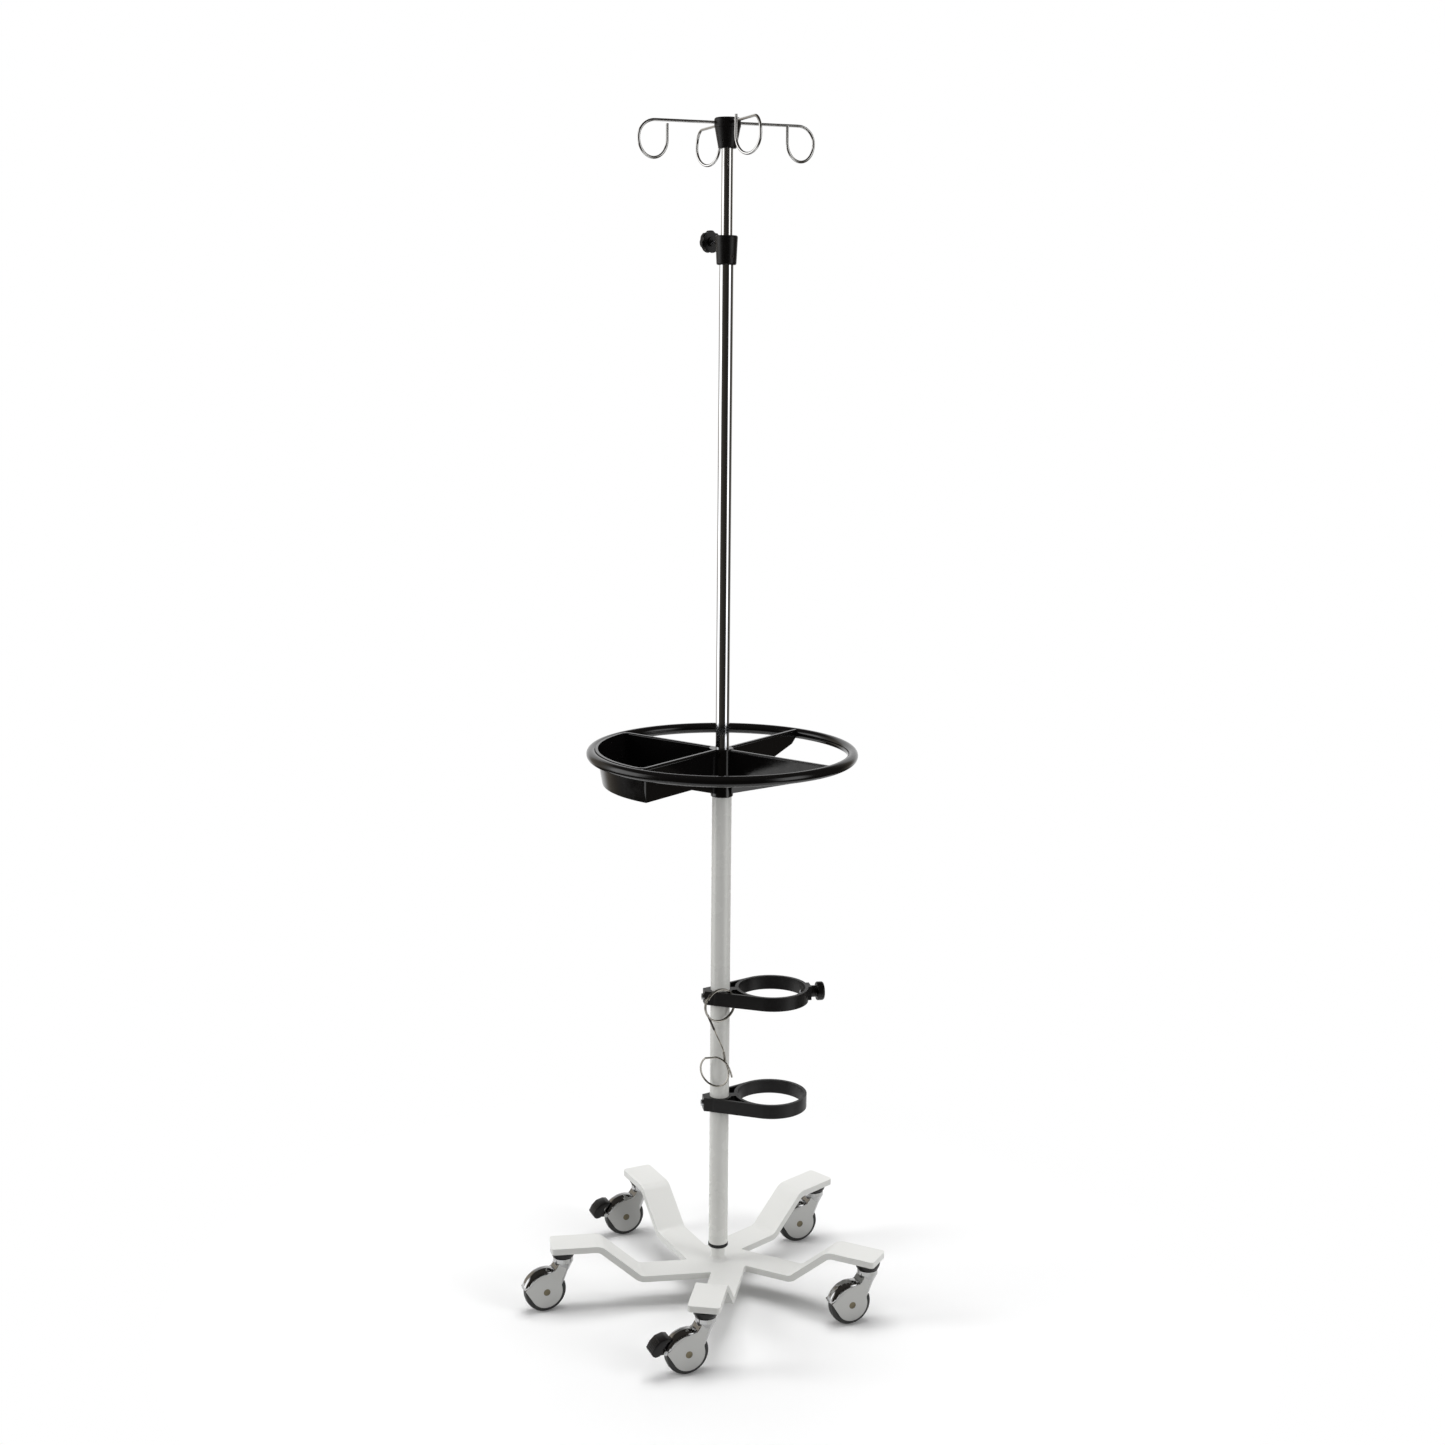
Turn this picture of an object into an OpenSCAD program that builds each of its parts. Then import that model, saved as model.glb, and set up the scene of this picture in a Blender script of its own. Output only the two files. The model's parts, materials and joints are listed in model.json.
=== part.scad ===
// Mobile infusion stand: five-arm base on swivel casters, telescopic pole with four
// hooks, hand ring with a storage bin, and two ring holders for a gas cylinder.
// Millimetres, +Z up. The origin is on the floor under the pole's axis.

/* [Base] */
// Direction of the first arm, in degrees from +X
base_turn = 45; // [-180:1:180]
// Width of each arm's flat bar
arm_w = 58; // [54:1:62]
// Thickness of the flat bar
arm_t = 12; // [10:0.5:14]
// Sideways distance from the pole's axis to the middle of an arm
arm_shift = 26; // [23:0.5:28]
// Distance from the pole's axis to an arm's outer end
arm_reach = 321; // [300:1:380]
// Distance from the pole's axis to the foot of the ramp
ramp_start = 152; // [130:1:165]
// Horizontal length of the ramp
ramp_run = 76; // [60:1:90]
// Height that the ramp gains
ramp_rise = 65; // [45:1:68]
// Inside radius of the two bends in an arm
bend_r = 18; // [8:1:24]
// Corner radius at the outer end of an arm
arm_corner_r = 6; // [2:0.5:12]

/* [Casters] */
// Height of a caster from the floor to the arm's underside
caster_h = 116; // [112:1:126]
// Distance from the arm's outer end to the swivel axis
caster_inset = 23; // [22.5:0.5:30]
// Direction in which the casters trail, in degrees from +X
caster_turn = 203; // [0:1:359]
// Diameter of the wheel
wheel_d = 80; // [75:1:81]
// Width of the tyre
tyre_w = 22; // [18:0.5:23]
// Distance from the swivel axis to the wheel's axis
caster_trail = 36.5; // [33:0.5:40]
// Width of the caster housing
housing_w = 29; // [27.5:0.5:32]
// Wall of the housing's side plates
housing_wall = 2.3; // [1.8:0.1:3]
// Radius of the hood over the wheel
hood_r = 44.5; // [44:0.5:46]
// Diameter of the wheel's axle
axle_d = 8; // [6:0.5:10]
// Diameter of the swivel stem
stem_d = 10; // [8:0.5:12]
// Diameter of the black cup above the swivel head
cup_d = 45; // [42:1:45]
// Height of the black cup
cup_h = 14; // [10:0.5:15]
// Diameter of the swivel head
head_d = 38; // [34:1:40]

/* [Pole] */
// Outside diameter of the white lower tube
lower_tube_d = 36; // [34:0.5:38]
// Wall of the lower tube
lower_tube_wall = 2; // [1.5:0.1:3]
// Height of the spigot's neck above the base plate
neck_h = 28; // [20:1:60]
// Diameter of the spigot's neck
neck_d = 26; // [22:0.5:28]
// Height of the rubber ring under the lower tube
foot_ring_h = 7; // [4:0.5:10]
// Outside diameter of the chrome mast tube
mast_d = 25; // [23.5:0.5:26]
// Wall of the mast tube
mast_wall = 1.5; // [1:0.1:1.6]
// Height of the mast tube's upper end above the floor
mast_top = 1952; // [1700:1:2000]
// Outside diameter of the sliding upper tube
upper_tube_d = 20; // [19:0.5:21]
// Wall of the upper tube
upper_tube_wall = 1.5; // [1:0.1:2]
// Length of the upper tube
upper_tube_len = 560; // [500:1:700]
// Length of the upper tube that shows between collar and head
upper_show = 145; // [130:1:200]

/* [Lock collar] */
// Height of the lock collar
collar_h = 50; // [46:1:60]
// Diameter of the collar at its upper end
collar_top_d = 39; // [37:0.5:44]
// Diameter of the collar at its lower end
collar_low_d = 35; // [33:0.5:38]
// Direction in which the lock knob points, in degrees from +X
lock_turn = 122; // [0:1:359]
// Diameter of the lock knob
lock_knob_d = 39; // [34:1:44]

/* [Head and hooks] */
// Height of the head boss
head_h = 51; // [46:1:60]
// Diameter of the head boss at the hooks
head_boss_d = 46; // [40:1:52]
// Diameter of the head boss at its lower end
head_low_d = 32; // [29:0.5:36]
// Diameter of the hook wire
hook_wire_d = 5; // [4:0.5:6]
// Distance from the pole's axis to the outside of a hook
hook_reach = 162; // [140:1:200]
// Radius of the hook's bends at the middle of the wire
hook_bend_r = 29; // [22:0.5:31]
// Radius of the hook's round lower half
hook_loop_r = 31; // [24:0.5:33]
// Straight length between a hook's upper and lower bend
hook_drop = 1; // [1:1:12]
// Direction of the first hook, in degrees from +X
hook_turn = 20; // [0:1:90]

/* [Hand ring and tray] */
// Height of the hand ring's middle above the floor
hand_ring_z = 1051; // [900:1:1100]
// Radius of the hand ring at the middle of its tube
hand_ring_r = 237; // [200:1:260]
// Diameter of the hand ring's tube
hand_tube_d = 19.2; // [16:0.2:24]
// Direction of the first spoke, in degrees from +X
spoke_turn = 53; // [0:1:89]
// Thickness of a spoke's web
web_t = 4.5; // [3:0.5:6]
// Depth of the storage bin
bin_depth = 62; // [45:1:68]
// Wall of the storage bin
bin_wall = 3; // [2:0.5:4]
// Diameter of the tray's hub
hub_d = 41; // [40.5:0.5:48]
// Depth of the hub below the hand ring's middle
hub_drop = 80; // [72:1:100]

/* [Cylinder holders] */
// Height of the lower holder's top face above the floor
low_holder_z = 393; // [300:1:400]
// Height of the upper holder's top face above the floor
high_holder_z = 602; // [560:1:760]
// Direction from the pole to the holders' rings, in degrees from +X
holder_turn = 10; // [-90:1:90]
// Height of a holder's band
band_h = 26; // [20:1:32]
// Distance from the pole's axis to the middle of a holder's ring
holder_reach = 98; // [95:1:120]
// Inside diameter of a holder's ring
ring_bore_d = 125; // [110:1:128]
// Wall of a holder's ring
ring_wall = 6; // [4:0.5:7]
// Wall of a holder round the pole
socket_wall = 5; // [4:0.5:6]
// Diameter of the cylinder screw's knob
screw_knob_d = 35; // [30:1:40]
// Length of the cylinder screw's tip inside the ring
screw_tip = 9; // [8:0.5:14]

/* [Tether] */
// Diameter of the wire in the two key rings
key_wire_d = 3; // [2.5:0.1:3.4]
// Radius of the key rings at the middle of the wire
key_ring_r = 30.5; // [29.5:0.5:31.5]
// Diameter of the tether's steel cable
cable_d = 2; // [1.5:0.1:2.5]

/* [Fits] */
// Radial clearance of a part that turns or slides
run_gap = 0.05; // [0.03:0.01:0.1]
// Gap between faces of parts that move past each other
face_gap = 0.4; // [0.3:0.1:0.5]

/* [Hidden] */
$fn = 64;

// Number of arms, casters and hooks
arms = 5;
hooks = 4;
// A cut runs this far past a face
cut = 1;

// Heights along the pole
plate_under_z = caster_h - ramp_rise;
plate_top_z = plate_under_z + arm_t;
foot_ring_z = plate_top_z + neck_h;
tube_z = foot_ring_z + foot_ring_h;
hub_z = hand_ring_z - hub_drop;
hub_top_z = hand_ring_z + hand_tube_d / 2;
tube_seat = 34;
tube_top_z = hub_z + tube_seat;
collar_seat = 36;
collar_z = mast_top - collar_seat;
collar_top_z = collar_z + collar_h;
head_z = collar_top_z + upper_show;
head_top_z = head_z + head_h;

// Radii that several pieces share
lower_tube_r = lower_tube_d / 2;
lower_tube_ir = lower_tube_r - lower_tube_wall;
mast_r = mast_d / 2;
mast_ir = mast_r - mast_wall;
upper_tube_r = upper_tube_d / 2;
upper_tube_ir = upper_tube_r - upper_tube_wall;

// The five flat bars cross as one welded plate with small weld fillets. Each bent bar's
// foot is let into it, thinner than the plate by a hair on every face.
weld_r = 3;
bar_foot = 10;
bar_skin = 0.05;
plate_reach = ramp_start - bend_r * tan(atan2(ramp_rise, ramp_run) / 2);

// Base bolt and washer
bolt_r = 6;
bolt_head_h = 7.5;
bolt_head_r = 10.5;
bolt_depth = 40;
washer_r = 15;
washer_t = 2.5;
bead_h = 8;
bead_r = neck_d / 2 + bead_h;
spigot_depth = 55;

// Bush between lower tube and mast
bush_len = 90;
bush_lip = 4;
mast_z = tube_top_z - bush_len + bush_lip;

// Upper tube, its guide bush and the head's socket
head_socket = 36;
upper_tube_z = head_z + head_socket - upper_tube_len;
guide_len = 25;
guide_plug = 20;

// Lock knob and stud
lock_z = collar_top_z - 9;
lock_boss_r = 7.5;
lock_boss_end = 29;
stud_r = 3;
knob_start = 45;
knob_t = 16;
lock_lobes = 7;

// Hook wire
hook_z = head_top_z - 8.5;
hook_root = 6;
hook_sweep = 22;
pin_r = 2;

// Tray
spoke_count = 4;
bead_w = 7;
bead_t = 4;
tray_screw_turn = 253;
tray_screw_z = hand_ring_z - 1;
bin_out_r = hand_ring_r - 8;
bin_draft = 11;
bin_corner_r = 13;
hub_foot = 7;

// Cylinder holders
holder_r = ring_bore_d / 2 + ring_wall;
socket_r = lower_tube_r + socket_wall;
block_end = 31;
block_w = 20;
block_neck_w = 36;
holder_screw_r = 4;
holder_head_r = 6;
holder_head_h = 4;
web_half = 8;
boss_w = 26;
boss_t = 8;
nut_r = 11;
nut_t = 8;
cyl_stud_r = 4;

// Casters
axle_z = wheel_d / 2;
head_top = caster_h - cup_h - face_gap;
plate_r = 30.5;
tail_u = 41.5;
tail_v = 9;
shoulder_r = 11;
nose_r = 10;
nose_gap = 0.6;
cavity_r = hood_r - 3.2;
cavity_hw = housing_w / 2 - housing_wall;
tyre_r = wheel_d / 2;
rim_r = tyre_r - 9.5;
axle_head_r = 6.5;
stem_in_arm = 9;
stem_in_head = 18;
pivot_u = 43.5;
pivot_v = 10.5;
pivot_r = 2;
ear_r = 4.2;

// Directions of the arms, by the name of the caster at each end
BACK_RIGHT = 0;
BACK_LEFT = 1;
LEFT = 2;
FRONT = 3;
RIGHT = 4;

// Route of the tether's cable, from its sleeve to its crimp
CABLE_POINTS = [
    [-10.5, -38.4, 536], [-9.3, -37.9, 533], [-8.1, -37.4, 530], [-6.9, -36.9, 527],
    [-5.7, -36.4, 524], [-4.4, -35.9, 521], [-3.1, -35.4, 518], [-1.8, -35, 515],
    [-0.5, -34.6, 512], [0.8, -34.3, 509], [2.1, -34, 506], [3.4, -33.8, 503],
    [4.6, -33.6, 500], [5.7, -33.5, 497], [6.6, -33.5, 494], [7.2, -33.6, 491]
];
SLEEVE_TOP = [-22.6, -44, 566];
CRIMP_END = [10.2, -34.7, 472];
sleeve_r = 2;
crimp_r = 2.4;

function polar(r, a) = [r * cos(a), r * sin(a)];
function arc(centre, r, from, to, steps = 12) =
    [for (i = [0:steps]) centre + polar(r, from + (to - from) * i / steps)];
function unit(v) = v / norm(v);

// The upper front corner of the caster's side plates, from the wheel's axis
plate_top = polar(plate_r + 12, 112);

// A straight round bar between two points
module bar(p, q, r) {
    d = q - p;
    translate(p)
        rotate([0, acos(d.z / norm(d)), atan2(d.y, d.x)])
            cylinder(h = norm(d), r = r);
}

// A body of revolution from [radius, height] points
module turned(points) {
    rotate_extrude() polygon(points);
}

// A round tube standing on z
module pipe(z, length, outer, inner) {
    translate([0, 0, z])
        difference() {
            cylinder(h = length, r = outer);
            translate([0, 0, -cut]) cylinder(h = length + 2 * cut, r = inner);
        }
}

// Lays the children along a direction: their +Z points outwards at height z
module outward(turn, z) {
    translate([0, 0, z]) rotate([0, 0, turn]) rotate([0, 90, 0]) children();
}

// A swept tube along a list of points
module swept(points, r, sides = 8) {
    count = len(points);
    function heading(i) = unit(points[min(i + 1, count - 1)] - points[max(i - 1, 0)]);
    function side(i) = unit(cross(heading(i), [0.31, -0.92, 0.24]));
    rings = [for (i = [0:count - 1])
        let (t = heading(i), s = side(i), b = cross(t, s))
        for (k = [0:sides - 1])
            points[i] + r * (s * cos(360 * k / sides) + b * sin(360 * k / sides))];
    first = [for (k = [0:sides - 1]) sides - 1 - k];
    last = [for (k = [0:sides - 1]) (count - 1) * sides + k];
    skin = [for (i = [0:count - 2]) for (k = [0:sides - 1])
        let (n = (k + 1) % sides)
        [i * sides + k, i * sides + n, (i + 1) * sides + n, (i + 1) * sides + k]];
    polyhedron(points = rings, faces = concat([last], skin, [first]), convexity = 6);
}

// ---- base ----

// Side view of an arm's bar: a flat foot in the plate, a bend up, the ramp, a bend
// back and the caster's pad
module arm_side() {
    slope = atan2(ramp_rise, ramp_run);
    half = tan(slope / 2);
    low = [ramp_start - bend_r * half, plate_top_z + bend_r];
    high = [ramp_start + ramp_run + (arm_t + bend_r) * half, caster_h - bend_r];
    inner_r = bend_r + bar_skin;
    outer_r = bend_r + arm_t - bar_skin;
    polygon(concat(
        [[plate_reach - bar_foot, plate_top_z - bar_skin]],
        arc(low, inner_r, -90, slope - 90),
        arc(high, outer_r, 90 + slope, 90),
        [[arm_reach, caster_h + arm_t - bar_skin], [arm_reach, caster_h + bar_skin]],
        arc(high, inner_r, 90, 90 + slope),
        arc(low, outer_r, slope - 90, -90),
        [[plate_reach - bar_foot, plate_under_z + bar_skin]]
    ));
}

// Plan of an arm's bar with its rounded outer corners
module arm_plan() {
    low = arm_shift - arm_w / 2 + bar_skin;
    high = arm_shift + arm_w / 2 - bar_skin;
    r = arm_corner_r;
    polygon(concat(
        [[0, low]],
        arc([arm_reach - r, low + r], r, 270, 360, 6),
        arc([arm_reach - r, high - r], r, 0, 90, 6),
        [[0, high]]
    ));
}

// One arm's rising part: the bent bar from the low plate to the caster's pad
module arm() {
    intersection() {
        translate([0, arm_shift + arm_w, 0])
            rotate([90, 0, 0]) linear_extrude(2 * arm_w) arm_side();
        linear_extrude(caster_h + arm_t + cut) arm_plan();
    }
}

// The flat bars of all five arms where they cross, with weld fillets between them
module low_plate() {
    translate([0, 0, plate_under_z])
        linear_extrude(arm_t)
            offset(r = -weld_r) offset(delta = weld_r)
                for (i = [0:arms - 1])
                    rotate([0, 0, base_turn + 360 / arms * i])
                        translate([-arm_shift / 2, arm_shift - arm_w / 2])
                            square([arm_shift / 2 + plate_reach, arm_w]);
}

// Puts the children on the swivel axis of a caster
module at_caster(i) {
    rotate([0, 0, base_turn + 360 / arms * i])
        translate([arm_reach - caster_inset, arm_shift, 0])
            rotate([0, 0, -base_turn - 360 / arms * i])
                children();
}

module base_star() {
    color("#e9ebea")
        difference() {
            union() {
                low_plate();
                for (i = [0:arms - 1]) rotate([0, 0, base_turn + 360 / arms * i]) arm();
            }
            translate([0, 0, plate_under_z - cut])
                cylinder(h = arm_t + 2 * cut, r = bolt_r + run_gap);
            for (i = [0:arms - 1])
                at_caster(i) translate([0, 0, caster_h - cut])
                    cylinder(h = stem_in_arm + cut, r = stem_d / 2 + run_gap);
        }
}

module base_spigot() {
    neck_r = neck_d / 2;
    plug_r = lower_tube_ir - run_gap;
    z0 = plate_top_z;
    color("#e9ebea")
        turned(concat(
            [[0, z0 + bolt_depth], [bolt_r, z0 + bolt_depth], [bolt_r, z0], [bead_r, z0]],
            arc([bead_r, z0 + bead_h], bead_h, 270, 180, 8),
            [[neck_r, z0 + bead_h + 1], [neck_r, tube_z], [plug_r, tube_z]],
            [[plug_r, tube_z + spigot_depth - 2], [plug_r - 2, tube_z + spigot_depth]],
            [[0, tube_z + spigot_depth]]
        ));
}

module base_washer() {
    color("#b9bcbf")
        pipe(plate_under_z - washer_t, washer_t, washer_r, bolt_r + run_gap);
}

module base_bolt() {
    head_z0 = plate_under_z - washer_t - bolt_head_h;
    color("#a9adb1") {
        translate([0, 0, head_z0]) cylinder(h = bolt_head_h, r = bolt_head_r, $fn = 6);
        translate([0, 0, plate_under_z - washer_t - cut])
            cylinder(h = washer_t + arm_t + bolt_depth - 1, r = bolt_r - run_gap);
    }
}

module foot_ring() {
    r = lower_tube_r + 0.8;
    color("#1b1b1c")
        turned([
            [neck_d / 2 + run_gap, foot_ring_z], [r - 1.2, foot_ring_z],
            [r, foot_ring_z + 1.2], [r, tube_z - 1.2], [r - 1.2, tube_z],
            [neck_d / 2 + run_gap, tube_z]
        ]);
}

// ---- pole ----

module lower_tube() {
    color("#dcdfe0") pipe(tube_z, tube_top_z - tube_z, lower_tube_r, lower_tube_ir);
}

module joint_bush() {
    outer = lower_tube_ir - run_gap;
    low = tube_top_z - bush_len;
    color("#2a2a2c")
        turned([
            [mast_ir - 1, low], [outer, low], [outer, tube_top_z],
            [mast_r + run_gap, tube_top_z], [mast_r + run_gap, low + bush_lip],
            [mast_ir - 1, low + bush_lip]
        ]);
}

module mast_tube() {
    color("#c9ccd0") pipe(mast_z, mast_top - mast_z, mast_r, mast_ir);
}

module upper_tube() {
    color("#d4d7da")
        difference() {
            pipe(upper_tube_z, upper_tube_len, upper_tube_r, upper_tube_ir);
            head_pin_place() cylinder(h = head_boss_d, r = pin_r + run_gap, center = true);
        }
}

module guide_bush() {
    r = mast_ir - run_gap;
    plug = upper_tube_ir - run_gap;
    z0 = upper_tube_z - guide_len;
    color("#ece8df")
        turned([
            [0, z0], [r - 1.5, z0], [r, z0 + 1.5], [r, upper_tube_z],
            [plug, upper_tube_z], [plug, upper_tube_z + guide_plug - 1],
            [plug - 1, upper_tube_z + guide_plug], [0, upper_tube_z + guide_plug]
        ]);
}

// ---- lock collar ----

module lock_collar() {
    top_r = collar_top_d / 2;
    low_r = collar_low_d / 2;
    round_r = 3;
    color("#1d1d1f")
        difference() {
            union() {
                turned(concat(
                    [[0, collar_z]],
                    arc([low_r - round_r, collar_z + round_r], round_r, 270, 360, 6),
                    arc([top_r - round_r, collar_top_z - round_r], round_r, 0, 90, 6),
                    [[0, collar_top_z]]
                ));
                outward(lock_turn, lock_z)
                    translate([0, 0, upper_tube_r + 2])
                        cylinder(h = lock_boss_end - upper_tube_r - 2, r = lock_boss_r);
            }
            translate([0, 0, collar_z - cut])
                cylinder(h = collar_seat + cut, r = mast_r + run_gap);
            translate([0, 0, collar_z])
                cylinder(h = collar_h + cut, r = upper_tube_r + run_gap);
            outward(lock_turn, lock_z) cylinder(h = lock_boss_end + cut, r = stud_r + run_gap);
            collar_screw_place() {
                cylinder(h = collar_top_d, r = collar_screw_r + run_gap);
                translate([0, 0, low_r - 2.4]) cylinder(h = collar_top_d, r = 4.2);
            }
        }
}

collar_screw_r = 2.5;
collar_screw_turn = -56;
module collar_screw_place() {
    outward(collar_screw_turn, collar_z + 14) children();
}

module collar_screw() {
    color("#b6b9bc")
        collar_screw_place()
            difference() {
                union() {
                    translate([0, 0, mast_r + run_gap])
                        cylinder(h = collar_low_d / 2 - mast_r - 2, r = collar_screw_r);
                    translate([0, 0, collar_low_d / 2 - 2.4]) cylinder(h = 2, r = 4.1);
                }
                translate([0, 0, collar_low_d / 2 - 1.8]) cylinder(h = 4, r = 1.7, $fn = 6);
            }
}

module lock_stud() {
    tip = upper_tube_r + 0.2;
    color("#a9adb1")
        outward(lock_turn, lock_z)
            translate([0, 0, tip]) cylinder(h = knob_start + 10 - tip, r = stud_r);
}

// A hand knob about +Z: a lobed grip on a round collar, dished on its outer face
module hand_knob(d, t, lobes, neck_r, neck_h, bore_r) {
    r = d / 2;
    scallop_r = r * 0.34;
    difference() {
        union() {
            cylinder(h = neck_h + cut, r = neck_r);
            translate([0, 0, neck_h])
                turned(concat(
                    [[0, 0], [r - 3, 0]],
                    arc([r - 2.5, 2.5], 2.5, 270, 360, 6),
                    arc([r - 4, t - neck_h - 4], 4, 0, 90, 8),
                    [[r * 0.45, t - neck_h - 1.5], [0, t - neck_h - 1.5]]
                ));
        }
        for (i = [0:lobes - 1])
            rotate([0, 0, 360 / lobes * i])
                translate([r + scallop_r * 0.62, 0, neck_h - cut])
                    cylinder(h = t + 2 * cut, r = scallop_r);
        translate([0, 0, -cut]) cylinder(h = 10 + cut, r = bore_r);
    }
}

module lock_knob() {
    color("#1a1a1c")
        outward(lock_turn, lock_z)
            translate([0, 0, knob_start])
                hand_knob(lock_knob_d, knob_t, lock_lobes, 8, 4, stud_r + run_gap);
}

// ---- head and hooks ----

module head_boss() {
    top_r = head_boss_d / 2;
    low_r = head_low_d / 2;
    round_r = 4;
    shoulder = hook_z - 9;
    color("#1d1d1f")
        difference() {
            turned(concat(
                [[0, head_z]],
                arc([low_r - 2, head_z + 2], 2, 270, 360, 5),
                [[top_r - 1, shoulder], [top_r, shoulder + 2]],
                arc([top_r - round_r, head_top_z - round_r], round_r, 0, 90, 8),
                [[0, head_top_z]]
            ));
            translate([0, 0, head_z - cut])
                cylinder(h = head_socket + cut, r = upper_tube_r + run_gap);
            for (i = [0:hooks - 1])
                outward(hook_turn + 90 * i, hook_z)
                    translate([0, 0, hook_root])
                        cylinder(h = top_r, r = hook_wire_d / 2 + run_gap);
            head_pin_place() cylinder(h = head_boss_d, r = pin_r + run_gap, center = true);
        }
}

module head_pin_place() {
    outward(hook_turn + 45, head_z + 12) children();
}

module head_pin() {
    color("#b6b9bc")
        head_pin_place()
            difference() {
                cylinder(h = head_low_d - 1, r = pin_r, center = true);
                cylinder(h = head_boss_d, r = pin_r / 2, center = true);
            }
}

// One hook towards +X: a straight arm, a bend down, a short drop, and a half circle
// that comes back up, turned a little to one side of the arm
module hook(turn) {
    bend = hook_bend_r;
    loop = hook_loop_r;
    out = hook_reach - hook_wire_d / 2;
    tilt = asin(hook_sweep / (2 * loop));
    low_z = -bend - hook_drop;
    tip_z = -3;
    back = [out - 2 * loop * cos(tilt), -2 * loop * sin(tilt)];
    points = concat(
        [[hook_root, 0, 0], [hook_root + 30, 0, 0]],
        [for (a = [90:-15:0]) [out - bend + bend * cos(a), 0, bend * sin(a) - bend]],
        [for (a = [0:-15:-180])
            let (u = loop * (1 - cos(a)))
            [out - u * cos(tilt), -u * sin(tilt), low_z + loop * sin(a)]],
        [[back.x, back.y, tip_z - 1.2], [back.x, back.y, tip_z]]
    );
    color("#c6c9cc")
        translate([0, 0, hook_z])
            rotate([0, 0, turn]) swept(points, hook_wire_d / 2, 12);
}

module hook_right() { hook(hook_turn); }
module hook_back() { hook(hook_turn + 90); }
module hook_left() { hook(hook_turn + 180); }
module hook_front() { hook(hook_turn + 270); }

// ---- hand ring and tray ----

// Plan of the bin: a quarter of the ring's inside with rounded outer corners
module bin_plan(inset) {
    offset(r = bin_corner_r - inset)
        offset(delta = -bin_corner_r)
            intersection() {
                circle(r = bin_out_r, $fn = 128);
                square(bin_out_r + cut);
            }
}

// The bin's solid to a depth below the ring's top, drafted inwards on its outer wall
module bin_solid(inset, depth) {
    top = hub_top_z - 1;
    intersection() {
        translate([0, 0, top - depth])
            linear_extrude(depth + (inset > 0 ? 2 * cut : 0)) bin_plan(inset);
        translate([0, 0, top - bin_depth])
            cylinder(
                h = bin_depth + 2 * cut,
                r1 = bin_out_r - bin_draft - inset,
                r2 = bin_out_r - inset,
                $fn = 128
            );
    }
}

module bin_shell() {
    top = hub_top_z - 1;
    difference() {
        union() {
            bin_solid(0, bin_depth);
            translate([0, 0, top - bead_t + 1]) linear_extrude(bead_t) bin_plan(-1.5);
        }
        difference() {
            bin_solid(bin_wall, bin_depth - bin_wall);
            cylinder(h = 2 * hub_top_z, r = hub_d / 2 + bin_wall, center = true);
        }
    }
}

// One spoke towards +X: a deep tapering web with a rounded bead on top
module spoke() {
    top = hub_top_z - 1;
    foot = hub_z + hub_foot;
    end = hand_ring_r - hand_tube_d / 4;
    translate([0, web_t / 2, 0])
        rotate([90, 0, 0])
            linear_extrude(web_t)
                polygon([
                    [0, foot], [hub_d / 2 - 1, foot],
                    [hand_ring_r - hand_tube_d, hand_ring_z - hand_tube_d * 0.9],
                    [end, hand_ring_z - hand_tube_d / 4], [end, top], [0, top]
                ]);
    translate([0, 0, top - bead_t / 2])
        rotate([0, 90, 0])
            linear_extrude(end)
                union() {
                    square([bead_t, bead_w - bead_t], center = true);
                    for (s = [-1, 1])
                        translate([0, s * (bead_w - bead_t) / 2])
                            circle(d = bead_t, $fn = 24);
                }
}

module hand_ring_tray() {
    hub_r = hub_d / 2;
    color("#121213")
        difference() {
            union() {
                translate([0, 0, hand_ring_z])
                    rotate_extrude($fn = 128)
                        translate([hand_ring_r, 0]) circle(d = hand_tube_d, $fn = 32);
                for (i = [0:spoke_count - 1]) rotate([0, 0, spoke_turn + 90 * i]) spoke();
                rotate([0, 0, spoke_turn + 90]) bin_shell();
                turned(concat(
                    [[0, hub_z]],
                    arc([hub_r - 2, hub_z + 2], 2, 270, 360, 5),
                    arc([hub_r - 2, hub_top_z - 2], 2, 0, 90, 5),
                    [[0, hub_top_z]]
                ));
            }
            translate([0, 0, hub_z - cut])
                cylinder(h = tube_seat + cut, r = lower_tube_r + run_gap);
            translate([0, 0, hub_z])
                cylinder(h = hub_top_z, r = mast_r + run_gap);
            tray_screw_place() {
                cylinder(h = hub_d, r = tray_screw_r + run_gap);
                translate([0, 0, hub_r - 2.2]) cylinder(h = 8, r = 4.6);
            }
        }
}

tray_screw_r = 2.5;
module tray_screw_place() {
    outward(tray_screw_turn, tray_screw_z) children();
}

module tray_screw() {
    hub_r = hub_d / 2;
    color("#2b2b2d")
        tray_screw_place()
            difference() {
                union() {
                    translate([0, 0, mast_r + run_gap])
                        cylinder(h = hub_r - mast_r - 2, r = tray_screw_r);
                    translate([0, 0, hub_r - 2.2]) cylinder(h = 1.8, r = 4.4);
                }
                translate([0, 0, hub_r - 1.6]) cylinder(h = 4, r = 1.9, $fn = 6);
            }
}

// ---- cylinder holders ----

// Outline of a holder: the ring and the socket round the pole, joined by flanks
module holder_outline() {
    hull() {
        circle(r = socket_r);
        translate([holder_reach, 0]) circle(r = holder_r, $fn = 128);
    }
}

// The block behind the pole that takes the clamping screw
module screw_block() {
    neck_x = -lower_tube_r * 0.7;
    linear_extrude(band_h)
        polygon([
            [-block_end, -block_w / 2], [neck_x, -block_neck_w / 2],
            [neck_x + 2, 0], [neck_x, block_neck_w / 2], [-block_end, block_w / 2]
        ]);
}

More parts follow.
